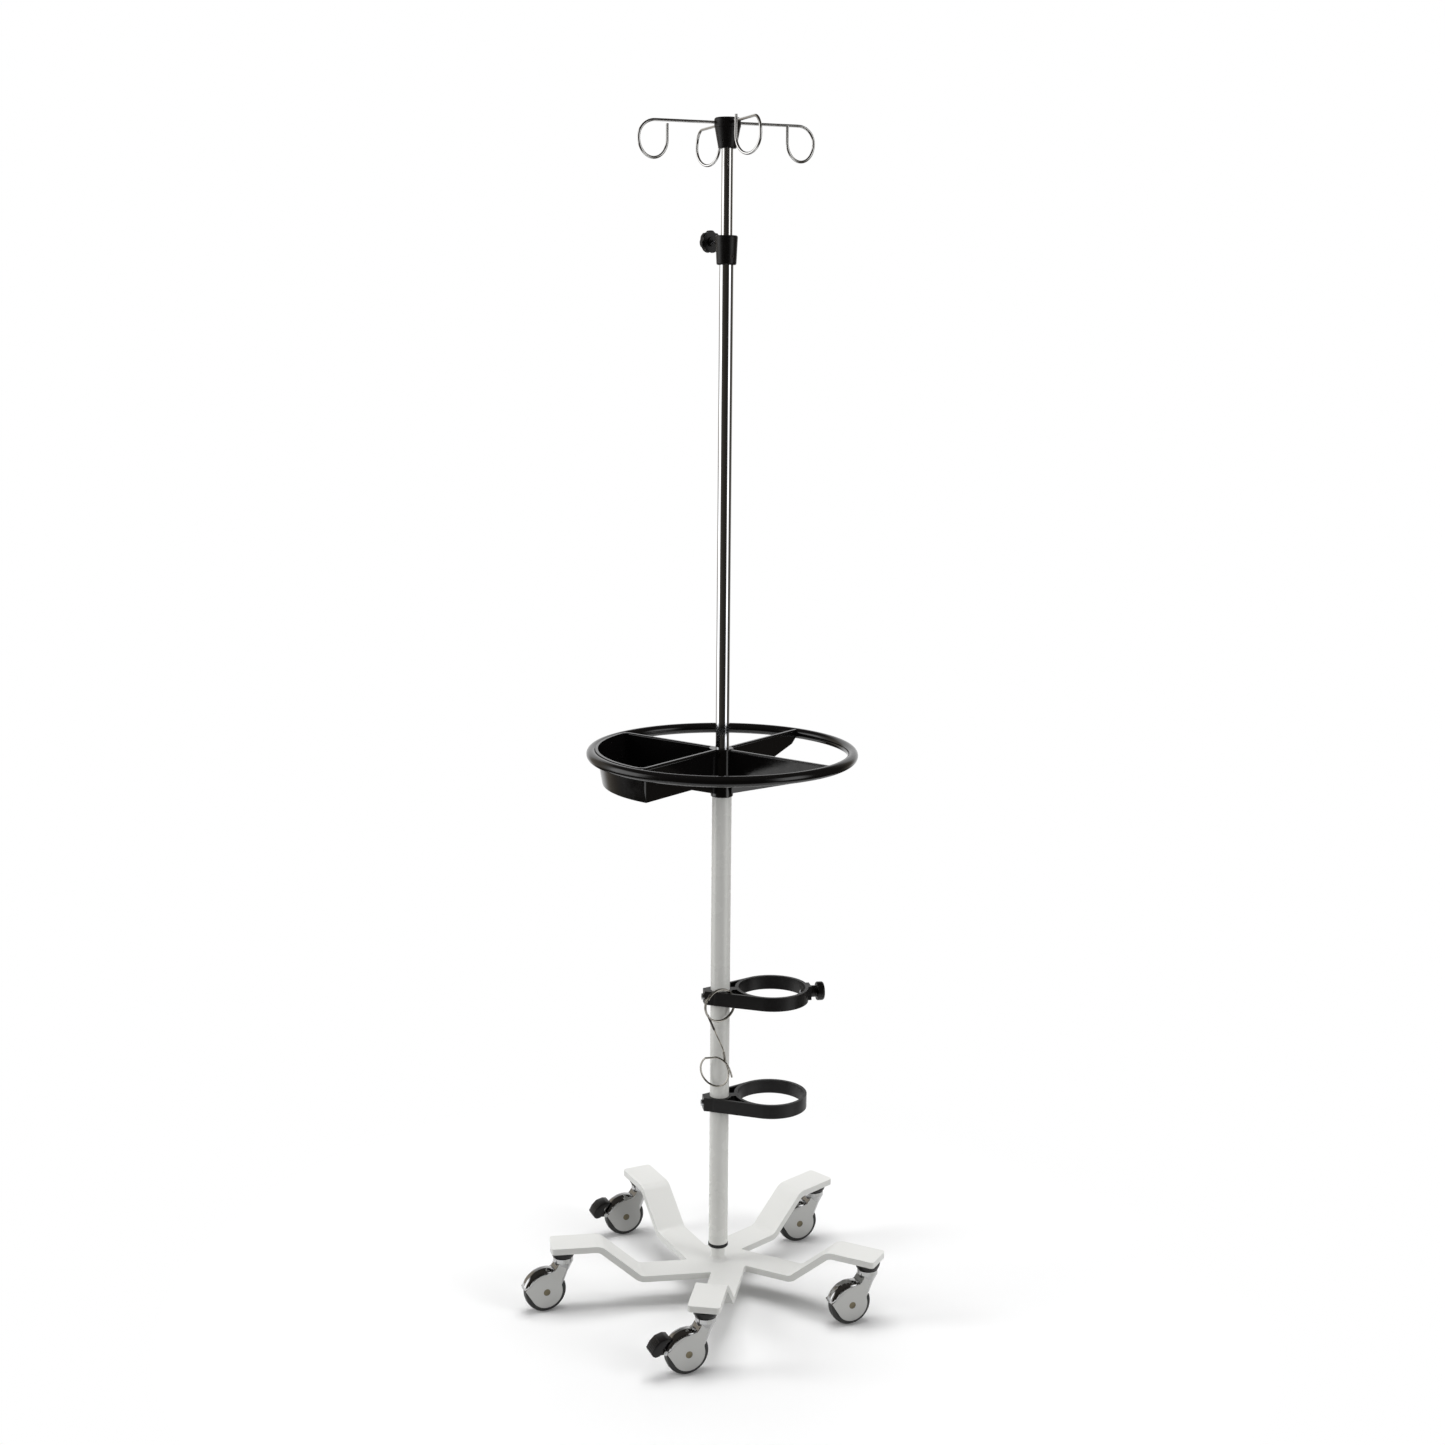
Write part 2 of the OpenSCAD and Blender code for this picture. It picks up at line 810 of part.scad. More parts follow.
// The two pockets between the socket, the ring and the side walls
module holder_pockets() {
    difference() {
        offset(delta = -socket_wall) holder_outline();
        circle(r = socket_r);
        translate([holder_reach, 0]) circle(r = holder_r, $fn = 128);
        translate([0, -web_half]) square([holder_reach, 2 * web_half]);
        translate([holder_reach * 0.6, -holder_r]) square([holder_r * 2, holder_r * 2]);
    }
}

module holder_body() {
    difference() {
        union() {
            linear_extrude(band_h) holder_outline();
            screw_block();
        }
        translate([0, 0, -cut]) linear_extrude(band_h + 2 * cut) holder_pockets();
        translate([holder_reach, 0, -cut])
            cylinder(h = band_h + 2 * cut, d = ring_bore_d, $fn = 128);
        translate([0, 0, -cut])
            cylinder(h = band_h + 2 * cut, r = lower_tube_r + run_gap);
        translate([0, 0, band_h / 2])
            rotate([0, -90, 0]) cylinder(h = block_end + cut, r = holder_screw_r + run_gap);
    }
}

// Puts a holder's parts at its height and direction; z counts from the band's underside
module at_holder(top_z) {
    translate([0, 0, top_z - band_h]) rotate([0, 0, holder_turn]) children();
}

module lower_holder() {
    color("#232325") at_holder(low_holder_z) holder_body();
}

// The upper holder also has the boss and nut of the cylinder screw
module upper_holder() {
    face = holder_reach + holder_r - 1;
    bore = holder_reach + ring_bore_d / 2 - cut;
    color("#232325")
        at_holder(high_holder_z)
            difference() {
                union() {
                    holder_body();
                    translate([face - 2, -boss_w / 2, 0]) cube([boss_t, boss_w, band_h]);
                    translate([face + boss_t - 2 - cut, 0, band_h / 2])
                        rotate([0, 90, 0]) cylinder(h = nut_t + cut, r = nut_r);
                }
                translate([bore, 0, band_h / 2])
                    rotate([0, 90, 0]) cylinder(h = holder_r, r = cyl_stud_r + run_gap);
                translate([holder_reach, 0, -cut])
                    cylinder(h = band_h + 2 * cut, d = ring_bore_d, $fn = 128);
            }
}

module holder_screw() {
    translate([0, 0, band_h / 2])
        rotate([0, -90, 0])
            difference() {
                union() {
                    translate([0, 0, lower_tube_r + run_gap])
                        cylinder(h = block_end - lower_tube_r, r = holder_screw_r);
                    translate([0, 0, block_end]) cylinder(h = holder_head_h, r = holder_head_r);
                }
                translate([0, 0, block_end + 1])
                    cylinder(h = holder_head_h, r = 3, $fn = 6);
            }
}

module holder_screws() {
    color("#b9bcbf") {
        at_holder(low_holder_z) holder_screw();
        at_holder(high_holder_z) holder_screw();
    }
}

// The cylinder screw's seat: where the nut's outer face meets the knob
screw_face = holder_reach + holder_r - 3 + boss_t + nut_t;

module cylinder_stud() {
    start = holder_reach + ring_bore_d / 2 - screw_tip;
    color("#b9bcbf")
        at_holder(high_holder_z)
            translate([start, 0, band_h / 2])
                rotate([0, 90, 0]) {
                    translate([0, 0, 1])
                        cylinder(h = screw_face + 10 - start - 1, r = cyl_stud_r);
                    cylinder(h = 1, r1 = cyl_stud_r - 1, r2 = cyl_stud_r);
                }
}

module cylinder_knob() {
    color("#1a1a1c")
        at_holder(high_holder_z)
            translate([screw_face + face_gap, 0, band_h / 2])
                rotate([0, 90, 0])
                    hand_knob(screw_knob_d, 17, 0, 11, 3, cyl_stud_r + run_gap);
}

// ---- tether ----

// A two-turn key ring of round wire about its own +Z
module key_ring(lead) {
    turns = 2;
    steps = 28;
    pitch = key_wire_d * 1.06;
    points = [for (i = [0:turns * steps])
        let (a = lead + 360 * i / steps)
        [key_ring_r * cos(a), key_ring_r * sin(a), pitch * (i / steps - turns / 2)]];
    swept(points, key_wire_d / 2, 8);
}

// The upper ring is threaded through the upper holder's front pocket
module upper_key_ring() {
    color("#8f8b80")
        translate([0, -31.4, high_holder_z - 21])
            rotate([0, 0, 30]) rotate([90, 0, 0]) key_ring(150);
}

module cable_sleeve() {
    color("#3c3a36") bar(SLEEVE_TOP, CABLE_POINTS[0], sleeve_r);
}

module tether_cable() {
    color("#77736a") swept(CABLE_POINTS, cable_d / 2, 8);
}

module cable_crimp() {
    color("#77736a") bar(CABLE_POINTS[len(CABLE_POINTS) - 1], CRIMP_END, crimp_r);
}

// The lower ring: a turn of the same wire that ends in an open tail
module lower_key_ring() {
    wire = key_wire_d + 0.6;
    r = key_ring_r - 1;
    lead = 34;
    turn = 266;
    points = concat(
        [[20.7, 0, 26.5], [21.5, 0, 22]],
        [for (i = [0:23])
            let (a = lead - turn * i / 23, near = -wire * 1.35 * max(0, i - 12) / 11)
            [r * cos(a), near, r * sin(a)]],
        [
            [5.5, -wire * 1.4, r], [13, -wire * 1.45, r - 1], [20.5, -wire * 1.45, r - 3.5],
            [27.5, -wire * 1.4, r - 8.5], [33, -wire * 1.3, r - 16.5],
            [36.5, -wire * 1.2, r - 25], [38.5, -wire * 1.1, r - 33]
        ]
    );
    color("#8f8b80")
        translate([-8.4, -24, 450]) rotate([0, 0, -30]) swept(points, wire / 2, 10);
}

// ---- casters ----

// Side view of the flat side plates, measured from the wheel's axis, with +X the
// trailing direction: round below, and rising from the tail to the tower
module plate_side() {
    hull() {
        circle(r = plate_r, $fn = 96);
        polygon([
            [tail_u, tail_v], polar(plate_r + 2.7, 40), polar(plate_r + 2.8, 71),
            polar(plate_r + 6.6, 95), plate_top
        ]);
    }
}

// Side view of the sector that the rounded hood fills, from the tail to the tower
module hood_side() {
    far = 2 * hood_r;
    front = -caster_trail * 0.8;
    polygon([
        [0, 0], far * [tail_u, tail_v] / norm([tail_u, tail_v]), [far, far],
        [front, far], [front, 0]
    ]);
}

// Section across the fork: a bar of half width hw with rounded outer corners
module fork_section(r, hw, corner) {
    polygon(concat(
        [[0, -hw]],
        arc([r - corner, corner - hw], corner, 270, 360, 8),
        arc([r - corner, hw - corner], corner, 0, 90, 8),
        [[0, hw]]
    ));
}

// The swivel tower: a bar with a rounded nose that leans forward over the wheel
module tower() {
    run = caster_trail - plate_r + head_d / 2;
    lean = atan2(run, head_top - axle_z);
    back = head_d / 2 - 13;
    intersection() {
        translate([nose_gap - head_d / 2, 0, head_top])
            rotate([0, -lean, 0])
                translate([0, 0, -3 * head_d])
                    linear_extrude(4 * head_d)
                        mirror([1, 0])
                            translate([-4 * head_d, 0])
                                fork_section(4 * head_d, housing_w / 2, nose_r);
        translate([0, housing_w, 0])
            rotate([90, 0, 0])
                linear_extrude(2 * housing_w)
                    polygon([
                        [-head_d, axle_z], [-head_d, head_top - 2], [back, head_top - 2],
                        [caster_trail + plate_top.x, axle_z + plate_top.y],
                        [caster_trail - 10, axle_z]
                    ]);
    }
}

module about_axle() {
    translate([caster_trail, 0, axle_z]) rotate([90, 0, 0]) children();
}

// The round swivel head on the tower
module swivel_head() {
    r = head_d / 2;
    low_r = housing_w / 2 - 1.5;
    turned([
        [0, head_top - 26], [low_r - 2, head_top - 26], [r, head_top - 9],
        [r, head_top - 1], [r - 1, head_top], [0, head_top]
    ]);
}

module at_pivot() {
    translate([caster_trail + pivot_u, 0, axle_z + pivot_v]) rotate([90, 0, 0]) children();
}

module caster_housing(braked) {
    color("#b4b6b8")
        difference() {
            union() {
                intersection() {
                    about_axle() rotate_extrude($fn = 96)
                        fork_section(hood_r, housing_w / 2 - 0.2, shoulder_r);
                    about_axle() linear_extrude(2 * housing_w, center = true) hood_side();
                }
                about_axle() linear_extrude(housing_w, center = true) plate_side();
                tower();
                swivel_head();
                if (braked) at_pivot() cylinder(h = housing_w - 1, r = ear_r, center = true);
            }
            about_axle() rotate_extrude($fn = 96)
                fork_section(cavity_r, cavity_hw, shoulder_r - 4);
            about_axle()
                cylinder(h = housing_w + 2 * cut, r = axle_head_r + run_gap, center = true);
            translate([0, 0, head_top - stem_in_head])
                cylinder(h = stem_in_head + cut, r = stem_d / 2 + run_gap);
            if (braked) {
                at_pivot() cylinder(h = 2 * cavity_hw, r = ear_r + 1, center = true);
                at_pivot() cylinder(h = housing_w + 2, r = pivot_r + run_gap, center = true);
            }
        }
}

module caster_axle() {
    head_t = housing_wall - 0.6;
    span = 2 * cavity_hw + 2 * head_t;
    color("#a89f86")
        about_axle()
            difference() {
                union() {
                    cylinder(h = span, d = axle_d, center = true);
                    for (s = [-1, 1])
                        translate([0, 0, s * (cavity_hw + head_t / 2)])
                            cylinder(h = head_t, r = axle_head_r, center = true);
                }
                for (s = [-1, 1])
                    translate([0, 0, s * (cavity_hw + head_t)])
                        cylinder(h = 1.2, r = 4.4, center = true);
            }
}

module wheel_hub() {
    bore = axle_d / 2 + run_gap;
    hw = cavity_hw - face_gap / 2;
    color("#3a3b3d")
        about_axle()
            turned([
                [bore, -hw], [bore + 5, -hw], [bore + 6, -5], [rim_r - 4, -4],
                [rim_r - 3, 1 - tyre_w / 2], [rim_r, 1 - tyre_w / 2],
                [rim_r, tyre_w / 2 - 1], [rim_r - 3, tyre_w / 2 - 1],
                [rim_r - 4, 4], [bore + 6, 5], [bore + 5, hw], [bore, hw]
            ]);
}

// The tyre: a crowned tread with rounded shoulders on the wheel's rim
module wheel_tyre() {
    hw = tyre_w / 2;
    corner = 5;
    color("#161616")
        about_axle()
            turned(concat(
                [[rim_r, -hw]],
                arc([tyre_r - corner - 0.6, corner - hw], corner, 270, 345, 6),
                [[tyre_r, 0]],
                arc([tyre_r - corner - 0.6, hw - corner], corner, 15, 90, 6),
                [[rim_r, hw]]
            ));
}

module caster_cups() {
    r = cup_d / 2;
    low_r = head_d / 2 + 1;
    color("#19191a")
        for (i = [0:arms - 1])
            at_caster(i)
                difference() {
                    turned(concat(
                        [[0, caster_h - cup_h], [low_r - 2, caster_h - cup_h]],
                        arc([r - 6, caster_h - 6], 6, 320, 360, 5),
                        [[r, caster_h], [0, caster_h]]
                    ));
                    translate([0, 0, caster_h - cup_h - cut])
                        cylinder(h = cup_h + 2 * cut, r = stem_d / 2 + run_gap);
                }
}

module caster_stems() {
    color("#a9adb1")
        for (i = [0:arms - 1])
            at_caster(i)
                translate([0, 0, head_top - stem_in_head + face_gap])
                    cylinder(
                        h = caster_h + stem_in_arm - head_top + stem_in_head - face_gap,
                        d = stem_d
                    );
}

// Side view of the brake pedal's tread, measured from the wheel's axis
module pedal_side() {
    offset(r = 2) offset(delta = -2)
        polygon([
            [31, 38], [41, 37], [53, 29], [65, 17], [71, 5], [66, -4], [56, -6],
            [49, -2], [48, 8], [48.5, 18], [44, 26], [33, 34]
        ]);
}

module brake_pedal() {
    tread_w = housing_w + 1;
    lug_w = 2 * cavity_hw - 2 * face_gap;
    ribs = 5;
    color("#1c1b1d")
        translate([caster_trail, 0, axle_z])
            difference() {
                union() {
                    translate([0, tread_w / 2, 0])
                        rotate([90, 0, 0]) linear_extrude(tread_w) pedal_side();
                    translate([0, lug_w / 2, 0])
                        rotate([90, 0, 0]) linear_extrude(lug_w)
                            hull() {
                                translate([pivot_u, pivot_v]) circle(r = 3.4, $fn = 32);
                                translate([52, 6]) circle(r = 5, $fn = 32);
                            }
                }
                translate([pivot_u, 0, pivot_v])
                    rotate([90, 0, 0])
                        cylinder(h = tread_w + 2, r = pivot_r + run_gap, center = true);
                for (i = [0:ribs - 1])
                    translate([55 + 3 * i, 0, 27.8 - 3.4 * i])
                        rotate([0, 48, 0]) cube([1.4, tread_w + 2, 2.6], center = true);
            }
}

module pedal_pin() {
    color("#a9adb1")
        translate([caster_trail + pivot_u, 0, axle_z + pivot_v])
            rotate([90, 0, 0]) cylinder(h = housing_w + 0.6, r = pivot_r, center = true);
}

// Puts a caster's swivelling parts on its swivel axis, turned to where it trails
module swivel(i) {
    at_caster(i) rotate([0, 0, caster_turn]) children();
}

module back_right_housing() { swivel(BACK_RIGHT) caster_housing(false); }
module back_right_axle() { swivel(BACK_RIGHT) caster_axle(); }
module back_right_hub() { swivel(BACK_RIGHT) wheel_hub(); }
module back_right_tyre() { swivel(BACK_RIGHT) wheel_tyre(); }
module back_left_housing() { swivel(BACK_LEFT) caster_housing(true); }
module back_left_axle() { swivel(BACK_LEFT) caster_axle(); }
module back_left_hub() { swivel(BACK_LEFT) wheel_hub(); }
module back_left_tyre() { swivel(BACK_LEFT) wheel_tyre(); }
module left_housing() { swivel(LEFT) caster_housing(false); }
module left_axle() { swivel(LEFT) caster_axle(); }
module left_hub() { swivel(LEFT) wheel_hub(); }
module left_tyre() { swivel(LEFT) wheel_tyre(); }
module front_housing() { swivel(FRONT) caster_housing(true); }
module front_axle() { swivel(FRONT) caster_axle(); }
module front_hub() { swivel(FRONT) wheel_hub(); }
module front_tyre() { swivel(FRONT) wheel_tyre(); }
module right_housing() { swivel(RIGHT) caster_housing(false); }
module right_axle() { swivel(RIGHT) caster_axle(); }
module right_hub() { swivel(RIGHT) wheel_hub(); }
module right_tyre() { swivel(RIGHT) wheel_tyre(); }
module back_left_pedal() { swivel(BACK_LEFT) brake_pedal(); }
module back_left_pedal_pin() { swivel(BACK_LEFT) pedal_pin(); }
module front_pedal() { swivel(FRONT) brake_pedal(); }
module front_pedal_pin() { swivel(FRONT) pedal_pin(); }

base_star();
base_spigot();
base_washer();
base_bolt();
foot_ring();
lower_tube();
joint_bush();
mast_tube();
lock_collar();
collar_screw();
lock_stud();
lock_knob();
upper_tube();
guide_bush();
head_boss();
head_pin();
hook_right();
hook_back();
hook_left();
hook_front();
hand_ring_tray();
tray_screw();
lower_holder();
upper_holder();
holder_screws();
cylinder_stud();
cylinder_knob();
upper_key_ring();
cable_sleeve();
tether_cable();
cable_crimp();
lower_key_ring();
caster_cups();
caster_stems();
back_right_housing();
back_right_axle();
back_right_hub();
back_right_tyre();
back_left_housing();
back_left_axle();
back_left_hub();
back_left_tyre();
left_housing();
left_axle();
left_hub();
left_tyre();
front_housing();
front_axle();
front_hub();
front_tyre();
right_housing();
right_axle();
right_hub();
right_tyre();
back_left_pedal();
back_left_pedal_pin();
front_pedal();
front_pedal_pin();
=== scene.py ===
"""Looks of a mobile infusion stand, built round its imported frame.

The frame holds every rigid piece at its real size. This file gives each piece its finish, softens
the edges of the bars and mouldings, lays the tether's cable and wire rings, and sets up a plain
studio with a camera. All lengths are metres, and pattern sizes are given in millimetres.
"""

import json
import logging
import math

from dataclasses import dataclass, field
from typing import Optional, Sequence

import bmesh
import bpy
from mathutils import Matrix, Vector

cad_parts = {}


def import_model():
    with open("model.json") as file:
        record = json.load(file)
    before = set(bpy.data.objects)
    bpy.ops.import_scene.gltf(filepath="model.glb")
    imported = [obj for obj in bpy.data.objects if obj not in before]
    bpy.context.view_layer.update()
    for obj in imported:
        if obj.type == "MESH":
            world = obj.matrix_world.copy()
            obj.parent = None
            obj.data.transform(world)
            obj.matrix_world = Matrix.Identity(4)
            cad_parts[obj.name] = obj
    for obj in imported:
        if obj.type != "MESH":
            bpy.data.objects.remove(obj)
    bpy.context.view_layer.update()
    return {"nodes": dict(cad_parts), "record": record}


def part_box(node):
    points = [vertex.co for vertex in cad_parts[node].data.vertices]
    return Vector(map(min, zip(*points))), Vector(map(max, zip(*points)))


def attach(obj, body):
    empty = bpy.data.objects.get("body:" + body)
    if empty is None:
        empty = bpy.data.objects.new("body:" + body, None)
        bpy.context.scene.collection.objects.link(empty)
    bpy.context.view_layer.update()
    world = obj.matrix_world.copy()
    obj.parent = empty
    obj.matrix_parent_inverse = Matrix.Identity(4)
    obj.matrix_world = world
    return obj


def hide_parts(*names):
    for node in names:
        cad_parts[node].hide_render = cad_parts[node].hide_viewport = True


log = logging.getLogger("infusion_stand")

MM = 0.001

Node = bpy.types.Node
Socket = bpy.types.NodeSocket
Point = tuple[float, float, float]


def linear(hex_colour: str) -> tuple[float, float, float, float]:
    """Turns an sRGB hex colour into linear light.

    Args:
        hex_colour: Six hex digits, such as "E6E8E8".

    Returns:
        Red, green, blue and an alpha of 1.
    """
    parts = [int(hex_colour[i : i + 2], 16) / 255 for i in (0, 2, 4)]
    red, green, blue = (c / 12.92 if c <= 0.04045 else ((c + 0.055) / 1.055) ** 2.4 for c in parts)
    return (red, green, blue, 1.0)


def per_metre(size_mm: float) -> float:
    """Returns the noise scale whose features are about size_mm across."""
    return 1.0 / (size_mm * MM)


class Graph:
    """A material's node graph, with one helper that adds a node."""

    def __init__(self, name: str) -> None:
        """Starts a material with a Principled surface.

        Args:
            name: The material's name.
        """
        self.material = bpy.data.materials.new(name)
        self.material.use_nodes = True
        self.tree = self.material.node_tree
        self.surface = self.tree.nodes["Principled BSDF"]

    @classmethod
    def of_world(cls, world: bpy.types.World) -> "Graph":
        """Returns a helper on a world's own nodes, emptied."""
        made = cls.__new__(cls)
        made.tree = world.node_tree
        made.tree.nodes.clear()
        return made

    def add(
        self,
        kind: str,
        links: Optional[dict[str | int, Socket]] = None,
        values: Optional[dict[str | int, object]] = None,
        **settings: object,
    ) -> Node:
        """Adds a node with its settings, socket values and incoming links.

        Args:
            kind: The node's type name, without the ShaderNode prefix.
            links: Input socket to the output socket that feeds it.
            values: Input socket to its constant value.
            settings: Attributes of the node.

        Returns:
            The new node.
        """
        made = self.tree.nodes.new("ShaderNode" + kind)
        for key, value in settings.items():
            setattr(made, key, value)
        for key, value in (values or {}).items():
            made.inputs[key].default_value = value
        for key, source in (links or {}).items():
            self.tree.links.new(source, made.inputs[key])
        return made

    def feed(self, socket: str, source: Socket) -> None:
        """Links a source to one of the surface's sockets."""
        self.tree.links.new(source, self.surface.inputs[socket])

    def seen(self, otherwise: float) -> Socket:
        """Returns 1 for the eye, mirrors and glass, and another level for plain light."""
        light = self.add("LightPath")
        shiny = self.add(
            "Math",
            operation="MAXIMUM",
            links={0: light.outputs["Is Glossy Ray"], 1: light.outputs["Is Transmission Ray"]},
        )
        either = self.add(
            "Math",
            operation="MAXIMUM",
            links={0: light.outputs["Is Camera Ray"], 1: shiny.outputs[0]},
        )
        return self.ramp(either.outputs[0], 0.0, 1.0, otherwise, 1.0)

    def place(self) -> Socket:
        """Returns the object's own coordinates, in metres."""
        return self.add("TexCoord").outputs["Object"]

    def noise(self, size_mm: float, detail: float = 3.0, place: Optional[Socket] = None) -> Socket:
        """Adds a noise whose features have a real size.

        Args:
            size_mm: Feature size in millimetres.
            detail: Octaves of finer noise.
            place: Coordinates, or None for the object's own.

        Returns:
            The noise value, from 0 to 1.
        """
        where = place if place is not None else self.place()
        made = self.add(
            "TexNoise",
            links={"Vector": where},
            values={"Scale": per_metre(size_mm), "Detail": detail, "Roughness": 0.55},
        )
        return made.outputs["Fac"]

    def ramp(
        self, source: Socket, low: float, high: float, out_low: float, out_high: float
    ) -> Socket:
        """Maps a stretch of a value onto another range.

        Args:
            source: The value to map.
            low: Start of the stretch.
            high: End of the stretch.
            out_low: Result at low and below.
            out_high: Result at high and above.

        Returns:
            The mapped value.
        """
        made = self.add(
            "MapRange",
            links={"Value": source},
            values={"From Min": low, "From Max": high, "To Min": out_low, "To Max": out_high},
        )
        return made.outputs["Result"]

    def blend(self, factor: Socket, dark: str, light: str) -> Socket:
        """Blends two sRGB hex colours by a factor and returns the colour."""
        made = self.add(
            "Mix",
            data_type="RGBA",
            links={0: factor},
            values={6: linear(dark), 7: linear(light)},
        )
        return made.outputs[2]

    def bump(self, height: Socket, depth_mm: float, strength: float = 1.0) -> None:
        """Raises the surface by a height map.

        Args:
            height: Height from 0 to 1.
            depth_mm: Height of the relief in millimetres.
            strength: Share of the relief that is used.
        """
        made = self.add(
            "Bump",
            links={"Height": height},
            values={"Strength": strength, "Distance": depth_mm * MM},
        )
        self.feed("Normal", made.outputs["Normal"])


@dataclass(frozen=True)
class Finish:
    """What every finish has: colours as sRGB hex, and gloss."""

    name: str
    colour: str
    shade: str
    roughness: float
    metallic: float = 0.0
    ior: Optional[float] = None

    def start(self) -> Graph:
        """Returns a graph whose surface has the constant values set."""
        graph = Graph(self.name)
        surface = graph.surface.inputs
        surface["Base Color"].default_value = linear(self.colour)
        surface["Roughness"].default_value = self.roughness
        surface["Metallic"].default_value = self.metallic
        if self.ior is not None:
            surface["IOR"].default_value = self.ior
        return graph


@dataclass(frozen=True)
class PowderCoat(Finish):
    """Polyester powder coat, sprayed and baked: a faint orange peel under an even satin skin."""

    peel_mm: float = 1.8
    peel_depth_mm: float = 0.005
    ior: Optional[float] = 1.5

    def build(self) -> bpy.types.Material:
        """Returns the coat's material."""
        graph = self.start()
        graph.feed("Base Color", graph.blend(graph.noise(60.0), self.shade, self.colour))
        smudge = graph.noise(35.0)
        graph.feed(
            "Roughness",
            graph.ramp(smudge, 0.35, 0.7, self.roughness - 0.01, self.roughness + 0.015),
        )
        graph.bump(graph.noise(self.peel_mm, 2.0), self.peel_depth_mm)
        return graph.material


@dataclass(frozen=True)
class Plated(Finish):
    """Plated or polished steel: mirror-like, with hairline polishing marks and faint smudges."""

    line_mm: float = 0.8
    line_depth_mm: float = 0.0002
    smudge: float = 0.05
    metallic: float = 1.0

    def build(self) -> bpy.types.Material:
        """Returns the plating's material."""
        graph = self.start()
        graph.feed("Base Color", graph.blend(graph.noise(45.0), self.shade, self.colour))
        graph.feed(
            "Roughness",
            graph.ramp(
                graph.noise(22.0, 4.0), 0.35, 0.75, self.roughness, self.roughness + self.smudge
            ),
        )
        stretched = graph.add(
            "Mapping",
            links={"Vector": graph.place()},
            values={"Scale": (0.08, 0.08, 1.0)},
        ).outputs["Vector"]
        graph.bump(graph.noise(self.line_mm, 2.0, stretched), self.line_depth_mm)
        return graph.material


@dataclass(frozen=True)
class MouldedPlastic(Finish):
    """Injection-moulded plastic: a spark-eroded grain, or none on a polished tool."""

    grain_mm: float = 0.8
    grain_depth_mm: float = 0.01
    ior: Optional[float] = 1.49

    def build(self) -> bpy.types.Material:
        """Returns the plastic's material."""
        graph = self.start()
        graph.feed("Base Color", graph.blend(graph.noise(30.0), self.shade, self.colour))
        graph.feed(
            "Roughness",
            graph.ramp(
                graph.noise(14.0, 4.0), 0.3, 0.75, self.roughness - 0.03, self.roughness + 0.07
            ),
        )
        graph.bump(graph.noise(self.grain_mm, 2.0), self.grain_depth_mm)
        return graph.material


@dataclass(frozen=True)
class Rubber(Finish):
    """Moulded rubber: matt and nearly black, with pale dust where it has rolled."""

    dust_mm: float = 9.0
    dust: float = 0.35
    ior: Optional[float] = 1.52

    def build(self) -> bpy.types.Material:
        """Returns the rubber's material."""
        graph = self.start()
        dusty = graph.ramp(graph.noise(self.dust_mm, 5.0), 0.45, 0.8, 0.0, self.dust)
        graph.feed("Base Color", graph.blend(dusty, self.colour, self.shade))
        graph.bump(graph.noise(0.9, 3.0), 0.03)
        return graph.material


@dataclass(frozen=True)
class PressedHousing(Finish):
    """A caster fork's plated shell: bright on the rounded hood, brushed satin on the flat sides."""

    side: Point = (0.39073, -0.9205, 0.0)
    side_roughness: float = 0.3
    metallic: float = 1.0

    def build(self) -> bpy.types.Material:
        """Returns the shell's material."""
        graph = self.start()
        normal = graph.add("TexCoord").outputs["Normal"]
        facing = graph.add(
            "VectorMath",
            operation="DOT_PRODUCT",
            links={0: normal},
            values={1: self.side},
        ).outputs["Value"]
        flat = graph.add("Math", operation="ABSOLUTE", links={0: facing}).outputs[0]
        sides = graph.ramp(flat, 0.93, 0.99, 0.0, 1.0)
        graph.feed("Base Color", graph.blend(sides, self.colour, self.shade))
        graph.feed("Roughness", graph.ramp(sides, 0.0, 1.0, self.roughness, self.side_roughness))
        stretched = graph.add(
            "Mapping",
            links={"Vector": graph.place()},
            values={"Scale": (0.1, 0.1, 1.0)},
        ).outputs["Vector"]
        graph.bump(graph.noise(0.7, 2.0, stretched), 0.0008)
        return graph.material


@dataclass(frozen=True)
class StrandedCable(Finish):
    """Wire rope: fine steel strands laid round a core, seen as slanting ridges with painted shade
    in the grooves.
    """

    lay_mm: float = 2.4
    metallic: float = 1.0

    def build(self) -> bpy.types.Material:
        """Returns the wire rope's material."""
        graph = self.start()
        ridges = graph.add(
            "TexWave",
            wave_type="BANDS",
            bands_direction="DIAGONAL",
            links={"Vector": graph.place()},
            values={"Scale": per_metre(self.lay_mm) / 6.0, "Distortion": 0.4, "Detail": 1.0},
        ).outputs["Fac"]
        # The grooves between the strands take the dark colour: painted shade, laid over the real
        # bump.
        graph.feed("Base Color", graph.blend(ridges, self.shade, self.colour))
        graph.bump(ridges, 0.25)
        return graph.material


